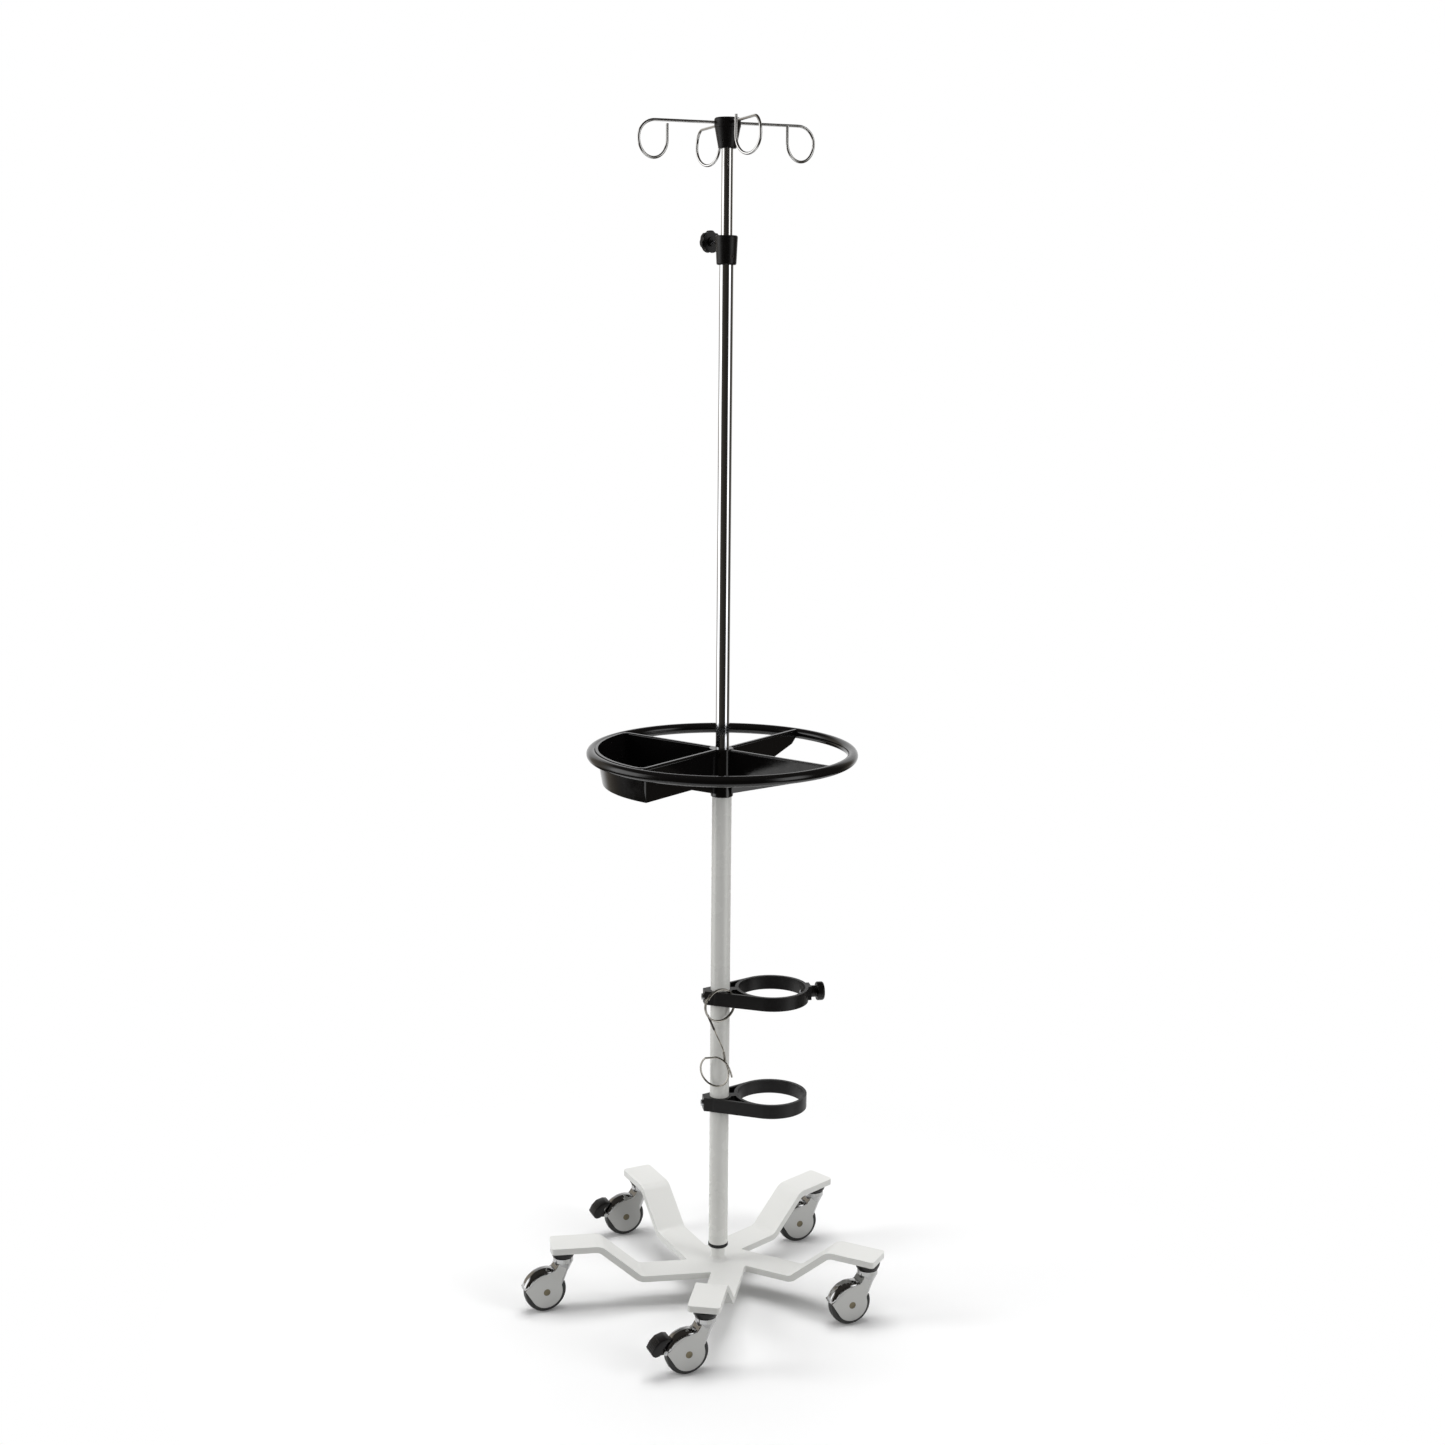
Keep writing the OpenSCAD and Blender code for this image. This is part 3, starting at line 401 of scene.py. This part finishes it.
class Finishes:
    """Every finish on the stand, and the record's slot that each one belongs to."""

    def __init__(self) -> None:
        """Builds all materials."""
        coats = {
            # Satin white powder coat: pale and even, with a soft wide highlight on each bar.
            "white_powder_coat": PowderCoat("white_powder_coat", "E7E7E4", "E4E4E1", 0.34),
            # The same coat on a drawn tube, glossier, so its highlights are long and narrow.
            "white_tube_coat": PowderCoat("white_tube_coat", "E1E1DD", "DFDFDB", 0.27, peel_mm=2.4),
            # Chromium plate: mirror-bright, and slightly blue.
            "bright_chrome": Plated("bright_chrome", "E2E4E7", "DADCDF", 0.06),
            # Stainless steel, polished: warmer and a little softer than the chrome.
            "polished_stainless": Plated("polished_stainless", "D6D6D5", "CBCAC8", 0.13),
            # Zinc plate on screws and pins: grey and slightly cloudy.
            "zinc_steel": Plated("zinc_steel", "C3C5C8", "B2B5B8", 0.26, smudge=0.1),
            # Black rubber: matt, with no clear highlight.
            "black_rubber": Rubber("black_rubber", "121212", "242322", 0.62, dust=0.15),
            # Dark acetal bushes: waxy and smooth.
            "bush_nylon": MouldedPlastic("bush_nylon", "2B2B2D", "272729", 0.38),
            # Polished black ABS: almost a mirror, so its edges show as long white lines.
            "gloss_black_moulding": MouldedPlastic(
                "gloss_black_moulding",
                "0D0C0C",
                "0B0A0A",
                0.12,
                grain_mm=4.0,
                grain_depth_mm=0.0015,
            ),
            # Black glass-filled nylon with a fine spark-eroded grain: highlights spread out.
            "satin_black_plastic": MouldedPlastic(
                "satin_black_plastic", "0D0B0B", "0B0A0A", 0.36, ior=1.37
            ),
            # Plated steel shell of the casters.
            "caster_housing_plate": PressedHousing(
                "caster_housing_plate", "B4B4B4", "A8A8A6", 0.07
            ),
            # Dull brassy plate on the axles' riveted ends.
            "axle_brass_plate": Plated("axle_brass_plate", "7E7662", "5F594B", 0.34, smudge=0.12),
            # Polypropylene wheel centre: dark grey and waxy.
            "wheel_core_plastic": MouldedPlastic("wheel_core_plastic", "3A3B3D", "333436", 0.42),
            # Tread rubber, with a little floor dust.
            "caster_tyre": Rubber("caster_tyre", "121211", "34322F", 0.5, dust=0.18),
            # Spring-steel wire of the key rings: a clear, slightly warm polish.
            "tether_steel": Plated("tether_steel", "AEABA4", "8B877F", 0.13, smudge=0.08),
            # Shrink sleeve: dark and matt.
            "dark_sleeve": MouldedPlastic("dark_sleeve", "33302C", "2A2724", 0.5),
        }
        self.by_slot = {slot: coat.build() for slot, coat in coats.items()}
        # Blackened socket screws in the collar and the tray's hub.
        self.black_oxide = Plated("black_oxide_steel", "3A3836", "2C2A29", 0.32, smudge=0.1).build()
        # Bare wire rope between the sleeve and the crimp; its dark second colour is painted shade
        # in the grooves between strands.
        self.wire_rope = StrandedCable("wire_rope", "A39C8F", "4B463E", 0.3).build()

    def dress(self, thing: bpy.types.Object, slot: str) -> None:
        """Gives an object the material of a slot.

        Args:
            thing: The object to dress.
            slot: The record's material slot.
        """
        thing.data.materials.clear()
        thing.data.materials.append(self.by_slot[slot])


@dataclass
class Frame:
    """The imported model, and what its nodes are made of."""

    nodes: dict[str, bpy.types.Object]
    record: dict
    finishes: Finishes
    slots: dict[str, str] = field(default_factory=dict)

    def __post_init__(self) -> None:
        """Reads each node's slot from the record."""
        self.slots = {s["node"]: s["material_slot"] for s in self.record["subparts"]}

    def body(self, node: str) -> str:
        """Returns the name of the body that holds a node."""
        bodies = self.record["behaviour"]["bodies"]
        return next(name for name, members in bodies.items() if node in members)

    def dress_nodes(self) -> None:
        """Gives every node its finish and smooth shading with crisp edges."""
        for name, thing in self.nodes.items():
            self.finishes.dress(thing, self.slots[name])
            shade_by_angle(thing, 32.0)
        for name in ("collar_screw", "tray_screw"):
            self.nodes[name].data.materials[0] = self.finishes.black_oxide

    def soften(
        self, node: str, width_mm: float, segments: int = 2, angle: float = 34.0
    ) -> bpy.types.Object:
        """Shows a node through a copy with rounded edges.

        Args:
            node: The node to stand in for.
            width_mm: Width of each rounded edge.
            segments: Steps across it.
            angle: Edges sharper than this many degrees are rounded.

        Returns:
            The new piece.
        """
        source = self.nodes[node]
        piece = bpy.data.objects.new(node + "_soft", source.data.copy())
        bpy.context.scene.collection.objects.link(piece)
        weld = piece.modifiers.new("weld", "WELD")
        weld.merge_threshold = 0.00002
        flat = piece.modifiers.new("flat", "DECIMATE")
        flat.decimate_type = "DISSOLVE"
        flat.angle_limit = math.radians(1.0)
        edge = piece.modifiers.new("edge", "BEVEL")
        edge.width = width_mm * MM
        edge.segments = segments
        edge.limit_method = "ANGLE"
        edge.angle_limit = math.radians(angle)
        edge.harden_normals = False
        normals = piece.modifiers.new("normals", "WEIGHTED_NORMAL")
        normals.keep_sharp = True
        self.finishes.dress(piece, self.slots[node])
        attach(piece, self.body(node))
        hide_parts(node)
        log.info("%s: edges rounded by %.1f mm", node, width_mm)
        return piece


def shade_by_angle(thing: bpy.types.Object, degrees: float) -> None:
    """Smooths a mesh's faces, and keeps edges sharper than an angle crisp.

    Args:
        thing: A mesh object.
        degrees: The sharpest angle that is still smoothed.
    """
    mesh = thing.data
    mesh.polygons.foreach_set("use_smooth", [True] * len(mesh.polygons))
    mesh.set_sharp_from_angle(angle=math.radians(degrees))


@dataclass(frozen=True)
class Lamp:
    """A rectangular soft box that faces the stand."""

    name: str
    place: Point
    size: tuple[float, float]
    watts: float
    target: Point = (0.0, 0.0, 1.0)

    def build(self) -> None:
        """Hangs the lamp in the scene."""
        light = bpy.data.lights.new(self.name, "AREA")
        light.shape = "RECTANGLE"
        light.size, light.size_y = self.size
        light.energy = self.watts
        made = bpy.data.objects.new(self.name, light)
        made.location = self.place
        aim = Vector(self.target) - Vector(self.place)
        made.rotation_euler = aim.to_track_quat("-Z", "Y").to_euler()
        made.visible_glossy = False
        bpy.context.scene.collection.objects.link(made)


@dataclass
class Studio:
    """A white sweep, soft boxes at both sides and overhead, a dark room beyond, and the camera."""

    focal_mm: float = 49.47
    sensor_mm: float = 36.0
    eye: Point = (0.0, -3.533, 1.797)
    pitch_deg: float = 11.045
    roll_deg: float = 0.49
    floor_half: float = 1.15
    floor_colour: str = "FAFAFA"
    shadow_radius: float = 0.62
    white_radius: float = 1.05
    fill: float = 0.27
    lamps: Sequence[Lamp] = (
        Lamp("soft_box_left", (-3.25, -0.3, 1.5), (1.1, 3.0), 62.0),
        Lamp("soft_box_right", (2.85, -1.7, 1.5), (0.8, 3.0), 44.0),
        Lamp("soft_box_top", (0.0, 0.3, 3.9), (2.4, 2.4), 102.0, (0.0, 0.0, 0.0)),
    )
    # Level of the room by bearing in degrees: 0 in front, negative to the left, 180 behind.
    room: Sequence[tuple[float, float]] = (
        (-180, 0.9), (-152, 0.9), (-140, 0.4), (-122, 0.4), (-110, 0.7), (-102, 2.2),
        (-76, 2.2), (-62, 0.12), (-48, 0.05), (-12, 0.03), (24, 0.02), (42, 0.03), (54, 2.0),
        (68, 2.0), (80, 0.08), (118, 0.05), (138, 0.3), (150, 0.9), (180, 0.9),
    )
    brightest: float = 2.2
    dark_tint: Point = (1.0, 0.9, 0.76)

    def camera(self) -> None:
        """Makes the camera and sets it as the scene's own."""
        lens = bpy.data.cameras.new("camera")
        lens.lens = self.focal_mm
        lens.sensor_width = self.sensor_mm
        lens.clip_start = 0.05
        lens.clip_end = 60.0
        eye = bpy.data.objects.new("camera", lens)
        aim = Matrix.Rotation(math.radians(90.0 - self.pitch_deg), 4, "X")
        roll = Matrix.Rotation(math.radians(self.roll_deg), 4, "Z")
        eye.matrix_world = Matrix.Translation(self.eye) @ aim @ roll
        bpy.context.scene.collection.objects.link(eye)
        bpy.context.scene.camera = eye

    def floor(self) -> None:
        """Lays the sweep: it takes the shadow near the stand, and is plain white further out."""
        mesh = bpy.data.meshes.new("floor")
        half = self.floor_half
        corners = [(-half, -half, 0), (half, -half, 0), (half, half, 0), (-half, half, 0)]
        mesh.from_pydata(corners, [], [(0, 1, 2, 3)])
        ground = bpy.data.objects.new("floor", mesh)
        ground.location.z = -0.0004
        graph = Graph("studio_floor")
        graph.surface.inputs["Roughness"].default_value = 0.8
        graph.surface.inputs["Specular IOR Level"].default_value = 0.0
        paper = graph.blend(graph.seen(0.0), "B2B2B0", self.floor_colour)
        graph.feed("Base Color", paper)
        reach = graph.add("VectorMath", operation="LENGTH", links={0: graph.place()})
        far = graph.ramp(reach.outputs["Value"], self.shadow_radius, self.white_radius, 0.0, 1.0)
        glow = graph.add("Emission", links={"Strength": graph.seen(self.fill)})
        mixed = graph.add(
            "MixShader",
            links={0: far, 1: graph.surface.outputs[0], 2: glow.outputs[0]},
        )
        out = graph.tree.nodes["Material Output"]
        graph.tree.links.new(mixed.outputs[0], out.inputs["Surface"])
        mesh.materials.append(graph.material)
        bpy.context.scene.collection.objects.link(ground)

    def world(self) -> None:
        """Sets a white backdrop for the eye, a room for mirrors, and a soft grey sky for light."""
        world = bpy.data.worlds.new("studio_room")
        bpy.context.scene.world = world
        world.use_nodes = True
        graph = Graph.of_world(world)
        place = graph.add("TexCoord").outputs["Generated"]
        parts = graph.add("SeparateXYZ", links={0: place})
        front = graph.add(
            "Math", operation="MULTIPLY", links={0: parts.outputs[1]}, values={1: -1.0}
        )
        bearing = graph.add(
            "Math", operation="ARCTAN2", links={0: parts.outputs[0], 1: front.outputs[0]}
        )
        share = graph.ramp(bearing.outputs[0], -math.pi, math.pi, 0.0, 1.0)
        walls = graph.add("ValToRGB", links={0: share})
        stops = walls.color_ramp.elements
        while len(stops) < len(self.room):
            stops.new(0.5)
        for stop, (degrees, level) in zip(stops, self.room):
            stop.position = degrees / 360 + 0.5
            tint = self.dark_tint if level < 0.5 else (1.0, 1.0, 1.0)
            stop.color = (*[level / self.brightest * part for part in tint], 1.0)
        high = graph.ramp(parts.outputs[2], 0.42, 0.6, 0.0, 1.0)
        low = graph.ramp(parts.outputs[2], -0.42, -0.28, 1.0, 0.0)
        ends = graph.add("Math", operation="MAXIMUM", links={0: high, 1: low})
        room = graph.add(
            "Mix",
            data_type="RGBA",
            links={0: ends.outputs[0], 6: walls.outputs[0]},
            values={7: (0.02, 0.018, 0.016, 1.0)},
        )
        light = graph.add("LightPath")
        eye = graph.add("Background", values={"Color": (1, 1, 1, 1), "Strength": 1.0})
        sky = graph.add("Background", values={"Color": (1, 1, 1, 1), "Strength": self.fill})
        mirror = graph.add(
            "Background", links={"Color": room.outputs[2]}, values={"Strength": self.brightest}
        )
        shiny = graph.add(
            "Math",
            operation="MAXIMUM",
            links={0: light.outputs["Is Glossy Ray"], 1: light.outputs["Is Transmission Ray"]},
        )
        soft = graph.add(
            "MixShader", links={0: shiny.outputs[0], 1: sky.outputs[0], 2: mirror.outputs[0]}
        )
        whole = graph.add(
            "MixShader",
            links={0: light.outputs["Is Camera Ray"], 1: soft.outputs[0], 2: eye.outputs[0]},
        )
        out = graph.add("OutputWorld")
        graph.tree.links.new(whole.outputs[0], out.inputs["Surface"])

    def build(self) -> None:
        """Sets up the whole studio."""
        settings = bpy.context.scene.view_settings
        settings.view_transform = "Standard"
        self.camera()
        self.floor()
        self.world()
        for lamp in self.lamps:
            lamp.build()


@dataclass
class Tether:
    """The steel cable between the two wire key rings on the upper holder."""

    cable_mm: float = 2.0
    route_mm: Sequence[Point] = (
        (-10.5, -38.4, 536), (-9.3, -37.9, 533), (-8.1, -37.4, 530), (-6.9, -36.9, 527),
        (-5.7, -36.4, 524), (-4.4, -35.9, 521), (-3.1, -35.4, 518), (-1.8, -35, 515),
        (-0.5, -34.6, 512), (0.8, -34.3, 509), (2.1, -34, 506), (3.4, -33.8, 503),
        (4.6, -33.6, 500), (5.7, -33.5, 497), (6.6, -33.5, 494), (7.2, -33.6, 491),
    )

    def length(self) -> float:
        """Returns the cable's length along its route, in metres."""
        points = [Vector(p) * MM for p in self.route_mm]
        return sum((b - a).length for a, b in zip(points, points[1:]))

    def build(self, frame: Frame) -> None:
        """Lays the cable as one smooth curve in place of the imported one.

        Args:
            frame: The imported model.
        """
        curve = bpy.data.curves.new("tether_rope", "CURVE")
        curve.dimensions = "3D"
        curve.bevel_depth = self.cable_mm / 2 * MM
        curve.bevel_resolution = 4
        curve.use_fill_caps = True
        spline = curve.splines.new("POLY")
        spline.points.add(len(self.route_mm) - 1)
        for point, place in zip(spline.points, self.route_mm):
            point.co = (*[v * MM for v in place], 1.0)
        rope = bpy.data.objects.new("tether_rope", curve)
        bpy.context.scene.collection.objects.link(rope)
        curve.materials.append(frame.finishes.wire_rope)
        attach(rope, "stand")
        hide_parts("tether_cable")
        log.info("tether: %.0f mm of cable", self.length() / MM)


@dataclass(frozen=True)
class Wire:
    """A bent wire of round section, drawn as one smooth bevelled curve."""

    name: str
    replaced: str
    points_mm: Sequence[Vector]
    diameter_mm: float

    def build(self, frame: Frame) -> bpy.types.Object:
        """Bends the wire and hides the node that it stands for.

        Args:
            frame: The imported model.

        Returns:
            The wire's curve.
        """
        curve = bpy.data.curves.new(self.name, "CURVE")
        curve.dimensions = "3D"
        curve.bevel_depth = self.diameter_mm / 2 * MM
        curve.bevel_resolution = 5
        curve.use_fill_caps = True
        spline = curve.splines.new("POLY")
        spline.points.add(len(self.points_mm) - 1)
        for point, place in zip(spline.points, self.points_mm):
            point.co = (*(place * MM), 1.0)
        spline.use_smooth = True
        piece = bpy.data.objects.new(self.name, curve)
        bpy.context.scene.collection.objects.link(piece)
        slot = frame.slots[self.replaced]
        curve.materials.append(frame.finishes.by_slot[slot])
        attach(piece, frame.body(self.replaced))
        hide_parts(self.replaced)
        return piece


@dataclass(frozen=True)
class Hooks:
    """The four wire hooks of the head, each a straight arm that curls back under itself."""

    wire_mm: float = 5.0
    out_mm: float = 159.5
    bend_mm: float = 29.0
    loop_mm: float = 31.0
    drop_mm: float = 1.0
    sweep_mm: float = 22.0
    tip_mm: float = -3.0
    long_tip_mm: float = 4.0
    long_tip_on: str = "hook_front"
    root_mm: float = 8.0
    first_straight_mm: float = 60.0
    turn_deg: float = 20.0
    order: Sequence[str] = ("hook_right", "hook_back", "hook_left", "hook_front")

    def path(self, tip: float) -> list[Vector]:
        """Returns one hook's centre line, pointing along +X from the head's axis.

        Args:
            tip: Height of the hook's end above its arm's centre line, in millimetres.

        Returns:
            The points, in millimetres.
        """
        out, bend, loop = self.out_mm, self.bend_mm, self.loop_mm
        tilt = math.asin(self.sweep_mm / (2 * loop))
        low = -bend - self.drop_mm
        straight = self.root_mm + self.first_straight_mm
        points = [Vector((self.root_mm, 0, 0)), Vector((straight, 0, 0))]
        for step in range(13):
            a = math.radians(90 - 7.5 * step)
            points.append(Vector((out - bend + bend * math.cos(a), 0, bend * math.sin(a) - bend)))
        for step in range(37):
            a = math.radians(-5 * step)
            u = loop * (1 - math.cos(a))
            points.append(
                Vector((out - u * math.cos(tilt), -u * math.sin(tilt), low + loop * math.sin(a)))
            )
        back = (out - 2 * loop * math.cos(tilt), -2 * loop * math.sin(tilt))
        for step in range(1, 5):
            points.append(Vector((*back, low + (tip - low) * step / 4)))
        return points

    def build(self, frame: Frame) -> None:
        """Bends the four hooks.

        Args:
            frame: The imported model.
        """
        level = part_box(self.order[0])[1][2] / MM - self.wire_mm / 2
        for index, node in enumerate(self.order):
            turn = Matrix.Rotation(math.radians(self.turn_deg + 90 * index), 4, "Z")
            place = Matrix.Translation((0, 0, level)) @ turn
            tip = self.long_tip_mm if node == self.long_tip_on else self.tip_mm
            points = [place @ point for point in self.path(tip)]
            Wire(node + "_wire", node, points, self.wire_mm).build(frame)


@dataclass(frozen=True)
class KeyRings:
    """The tether's rings: two turns round the upper holder, and an open pigtail below."""

    wire_mm: float = 3.0
    radius_mm: float = 30.5
    centre_mm: Point = (0.0, -31.4, 581.0)
    turned_deg: float = 30.0
    start_deg: float = 150.0
    turns: int = 2
    steps_a_turn: int = 56
    pitch_ratio: float = 1.06
    smooth_deg: float = 50.0

    def upper(self) -> list[Vector]:
        """Returns the upper ring's centre line."""
        place = (
            Matrix.Translation(self.centre_mm)
            @ Matrix.Rotation(math.radians(self.turned_deg), 4, "Z")
            @ Matrix.Rotation(math.radians(90), 4, "X")
        )
        pitch = self.wire_mm * self.pitch_ratio
        points = []
        for step in range(self.turns * self.steps_a_turn + 1):
            a = math.radians(self.start_deg + 360 * step / self.steps_a_turn)
            rise = pitch * (step / self.steps_a_turn - 1)
            points.append(
                place @ Vector((self.radius_mm * math.cos(a), self.radius_mm * math.sin(a), rise))
            )
        return points

    def build(self, frame: Frame) -> None:
        """Bends the upper ring, and smooths the lower ring's own turns.

        Args:
            frame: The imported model.
        """
        Wire("upper_ring_wire", "upper_key_ring", self.upper(), self.wire_mm).build(frame)
        shade_by_angle(frame.nodes["lower_key_ring"], self.smooth_deg)


@dataclass(frozen=True)
class BrakePedal:
    """A caster's ribbed brake pedal, drawn in side view as (outwards, up) from the wheel's axis."""

    caster: str
    turn_deg: float = 203.0
    tread_mm: float = 29.6
    lug_mm: float = 23.6
    pivot_mm: tuple[float, float] = (43.5, 10.5)
    rib_count: int = 7
    rib_mm: float = 1.3
    profile_mm: Sequence[tuple[float, float]] = (
        (33, 36.5), (42, 38.2), (54.5, 35), (64.5, 25.5), (70.2, 15), (68, 9.5), (63, 6.5),
        (56, 7.5), (50, 11.5), (48.8, 19), (45, 27), (35, 33.2),
    )
    face: tuple[int, int] = (2, 4)

    def prism(
        self, shape: Sequence[tuple[float, float]], width: float, edge: float
    ) -> bmesh.types.BMesh:
        """Extrudes a side view across the wheel and rounds its long edges.

        Args:
            shape: Corners of the side view, in millimetres.
            width: Width across the wheel.
            edge: Radius of the rounding.

        Returns:
            The solid, in metres.
        """
        made = bmesh.new()
        near = [made.verts.new(Vector((u, -width / 2, v)) * MM) for u, v in shape]
        side = made.faces.new(near)
        grown = bmesh.ops.extrude_face_region(made, geom=[side])
        moved = [g for g in grown["geom"] if isinstance(g, bmesh.types.BMVert)]
        bmesh.ops.translate(made, verts=moved, vec=(0, width * MM, 0))
        bmesh.ops.recalc_face_normals(made, faces=made.faces[:])
        bmesh.ops.bevel(
            made, geom=made.edges[:], offset=edge * MM, segments=3, profile=0.5,
            affect="EDGES", clamp_overlap=True,
        )
        return made

    def ribs(self) -> list[bmesh.types.BMesh]:
        """Returns the ridges across the pressed face."""
        made = []
        corners = [Vector(p) for p in self.profile_mm[self.face[0] : self.face[1] + 1]]
        spans = list(zip(corners, corners[1:]))
        whole = sum((b - a).length for a, b in spans)
        for index in range(self.rib_count):
            reach = whole * (index + 0.5) / self.rib_count
            for a, b in spans:
                if reach <= (b - a).length:
                    break
                reach -= (b - a).length
            along = (b - a).normalized()
            out = Vector((-along.y, along.x)) * (1 if along.x > 0 else -1)
            if out.x < 0:
                out = -out
            mid = a + along * reach
            half = along * self.rib_mm
            corners_of = [
                mid - half - out,
                mid + half - out,
                mid + half * 0.6 + out * 0.7,
                mid - half * 0.6 + out * 0.7,
            ]
            made.append(self.prism([tuple(c) for c in corners_of], self.tread_mm - 3.0, 0.35))
        return made

    def build(self, frame: Frame) -> None:
        """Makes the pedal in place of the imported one.

        Args:
            frame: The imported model.
        """
        node = self.caster + "_pedal"
        u, v = self.pivot_mm
        lug = [
            (u - 3.2, v - 1), (u - 1, v - 3.2), (u + 12, v - 2.5),
            (u + 12, v + 5), (u + 1, v + 3.2), (u - 2.4, v + 2.2),
        ]
        whole = bmesh.new()
        for part in [
            self.prism(self.profile_mm, self.tread_mm, 1.6),
            self.prism(lug, self.lug_mm, 0.8),
            *self.ribs(),
        ]:
            mesh = bpy.data.meshes.new("part")
            part.to_mesh(mesh)
            whole.from_mesh(mesh)
            part.free()
            bpy.data.meshes.remove(mesh)
        low, high = (Vector(corner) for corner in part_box(self.caster + "_axle"))
        turn = Matrix.Rotation(math.radians(self.turn_deg), 4, "Z")
        bmesh.ops.transform(
            whole, matrix=Matrix.Translation((low + high) / 2) @ turn, verts=whole.verts
        )
        mesh = bpy.data.meshes.new(node + "_tread")
        whole.to_mesh(mesh)
        whole.free()
        piece = bpy.data.objects.new(node + "_tread", mesh)
        bpy.context.scene.collection.objects.link(piece)
        frame.finishes.dress(piece, frame.slots[node])
        shade_by_angle(piece, 35.0)
        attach(piece, frame.body(node))
        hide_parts(node)


@dataclass(frozen=True)
class CasterCups:
    """The five rubber cups under the arms, as bowls that the swivel heads run up into."""

    profile_mm: Sequence[tuple[float, float]] = (
        (18.6, -13.9), (19.8, -13.2), (21.4, -10.4), (22.6, -7.0), (23.3, -3.6), (23.3, -1.6),
        (22.8, -0.5), (22.0, -0.1),
    )
    bore_mm: float = 5.3
    steps: int = 72

    def build(self, frame: Frame) -> None:
        """Turns one bowl about each caster's swivel axis.

        Args:
            frame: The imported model.
        """
        node = "caster_cups"
        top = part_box(node)[1][2]
        outer = smooth([Vector((r, 0, z)) for r, z in self.profile_mm[1:]], 3)
        shape = [
            Vector((self.bore_mm, 0, outer[0].z)), *outer, Vector((self.bore_mm, 0, outer[-1].z)),
        ]
        whole = bmesh.new()
        for joint in frame.record["behaviour"]["joints"]:
            if not joint["name"].endswith("_swivel"):
                continue
            centre = Vector((*joint["pos_m"][:2], top))
            rings = []
            for step in range(self.steps):
                turn = Matrix.Rotation(2 * math.pi * step / self.steps, 4, "Z")
                rings.append([whole.verts.new(centre + turn @ (point * MM)) for point in shape])
            for ring, following in zip(rings, rings[1:] + rings[:1]):
                for k in range(len(shape)):
                    m = (k + 1) % len(shape)
                    whole.faces.new((ring[k], following[k], following[m], ring[m]))
        bmesh.ops.recalc_face_normals(whole, faces=whole.faces[:])
        mesh = bpy.data.meshes.new(node + "_bowls")
        whole.to_mesh(mesh)
        whole.free()
        piece = bpy.data.objects.new(node + "_bowls", mesh)
        bpy.context.scene.collection.objects.link(piece)
        frame.finishes.dress(piece, frame.slots[node])
        shade_by_angle(piece, 40.0)
        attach(piece, frame.body(node))
        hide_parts(node)


def smooth(points: Sequence[Vector], steps: int) -> list[Vector]:
    """Runs a Catmull-Rom curve through points.

    Args:
        points: The points to pass through.
        steps: Pieces between two neighbours.

    Returns:
        The denser points.
    """
    ends = [points[0] * 2 - points[1], *points, points[-1] * 2 - points[-2]]
    made = []
    for a, b, c, d in zip(ends, ends[1:], ends[2:], ends[3:]):
        for step in range(steps):
            t = step / steps
            square = (a * 2 - b * 5 + c * 4 - d) * t**2
            cube = (b * 3 - a - c * 3 + d) * t**3
            made.append((b * 2 + (c - a) * t + square + cube) * 0.5)
    made.append(points[-1])
    return made


# Width in millimetres of the rounded edges of each moulding, bar and knob.
SOFT_EDGES = {
    "base_star": 1.3,
    "lock_knob": 1.6,
    "cylinder_knob": 1.2,
    "lock_collar": 0.8,
    "head_boss": 0.8,
    "upper_holder": 0.8,
    "lower_holder": 0.8,
}


def main() -> None:
    """Builds the stand's looks round its frame."""
    logging.basicConfig(level=logging.INFO, format="%(name)s: %(message)s")
    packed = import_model()
    Studio().build()
    frame = Frame(packed["nodes"], packed["record"], Finishes())
    frame.dress_nodes()
    Tether().build(frame)
    Hooks().build(frame)
    for caster in ("front", "back_left"):
        BrakePedal(caster).build(frame)
    CasterCups().build(frame)
    for node, edge in SOFT_EDGES.items():
        frame.soften(node, edge)
    KeyRings().build(frame)


if __name__ == "__main__":
    main()
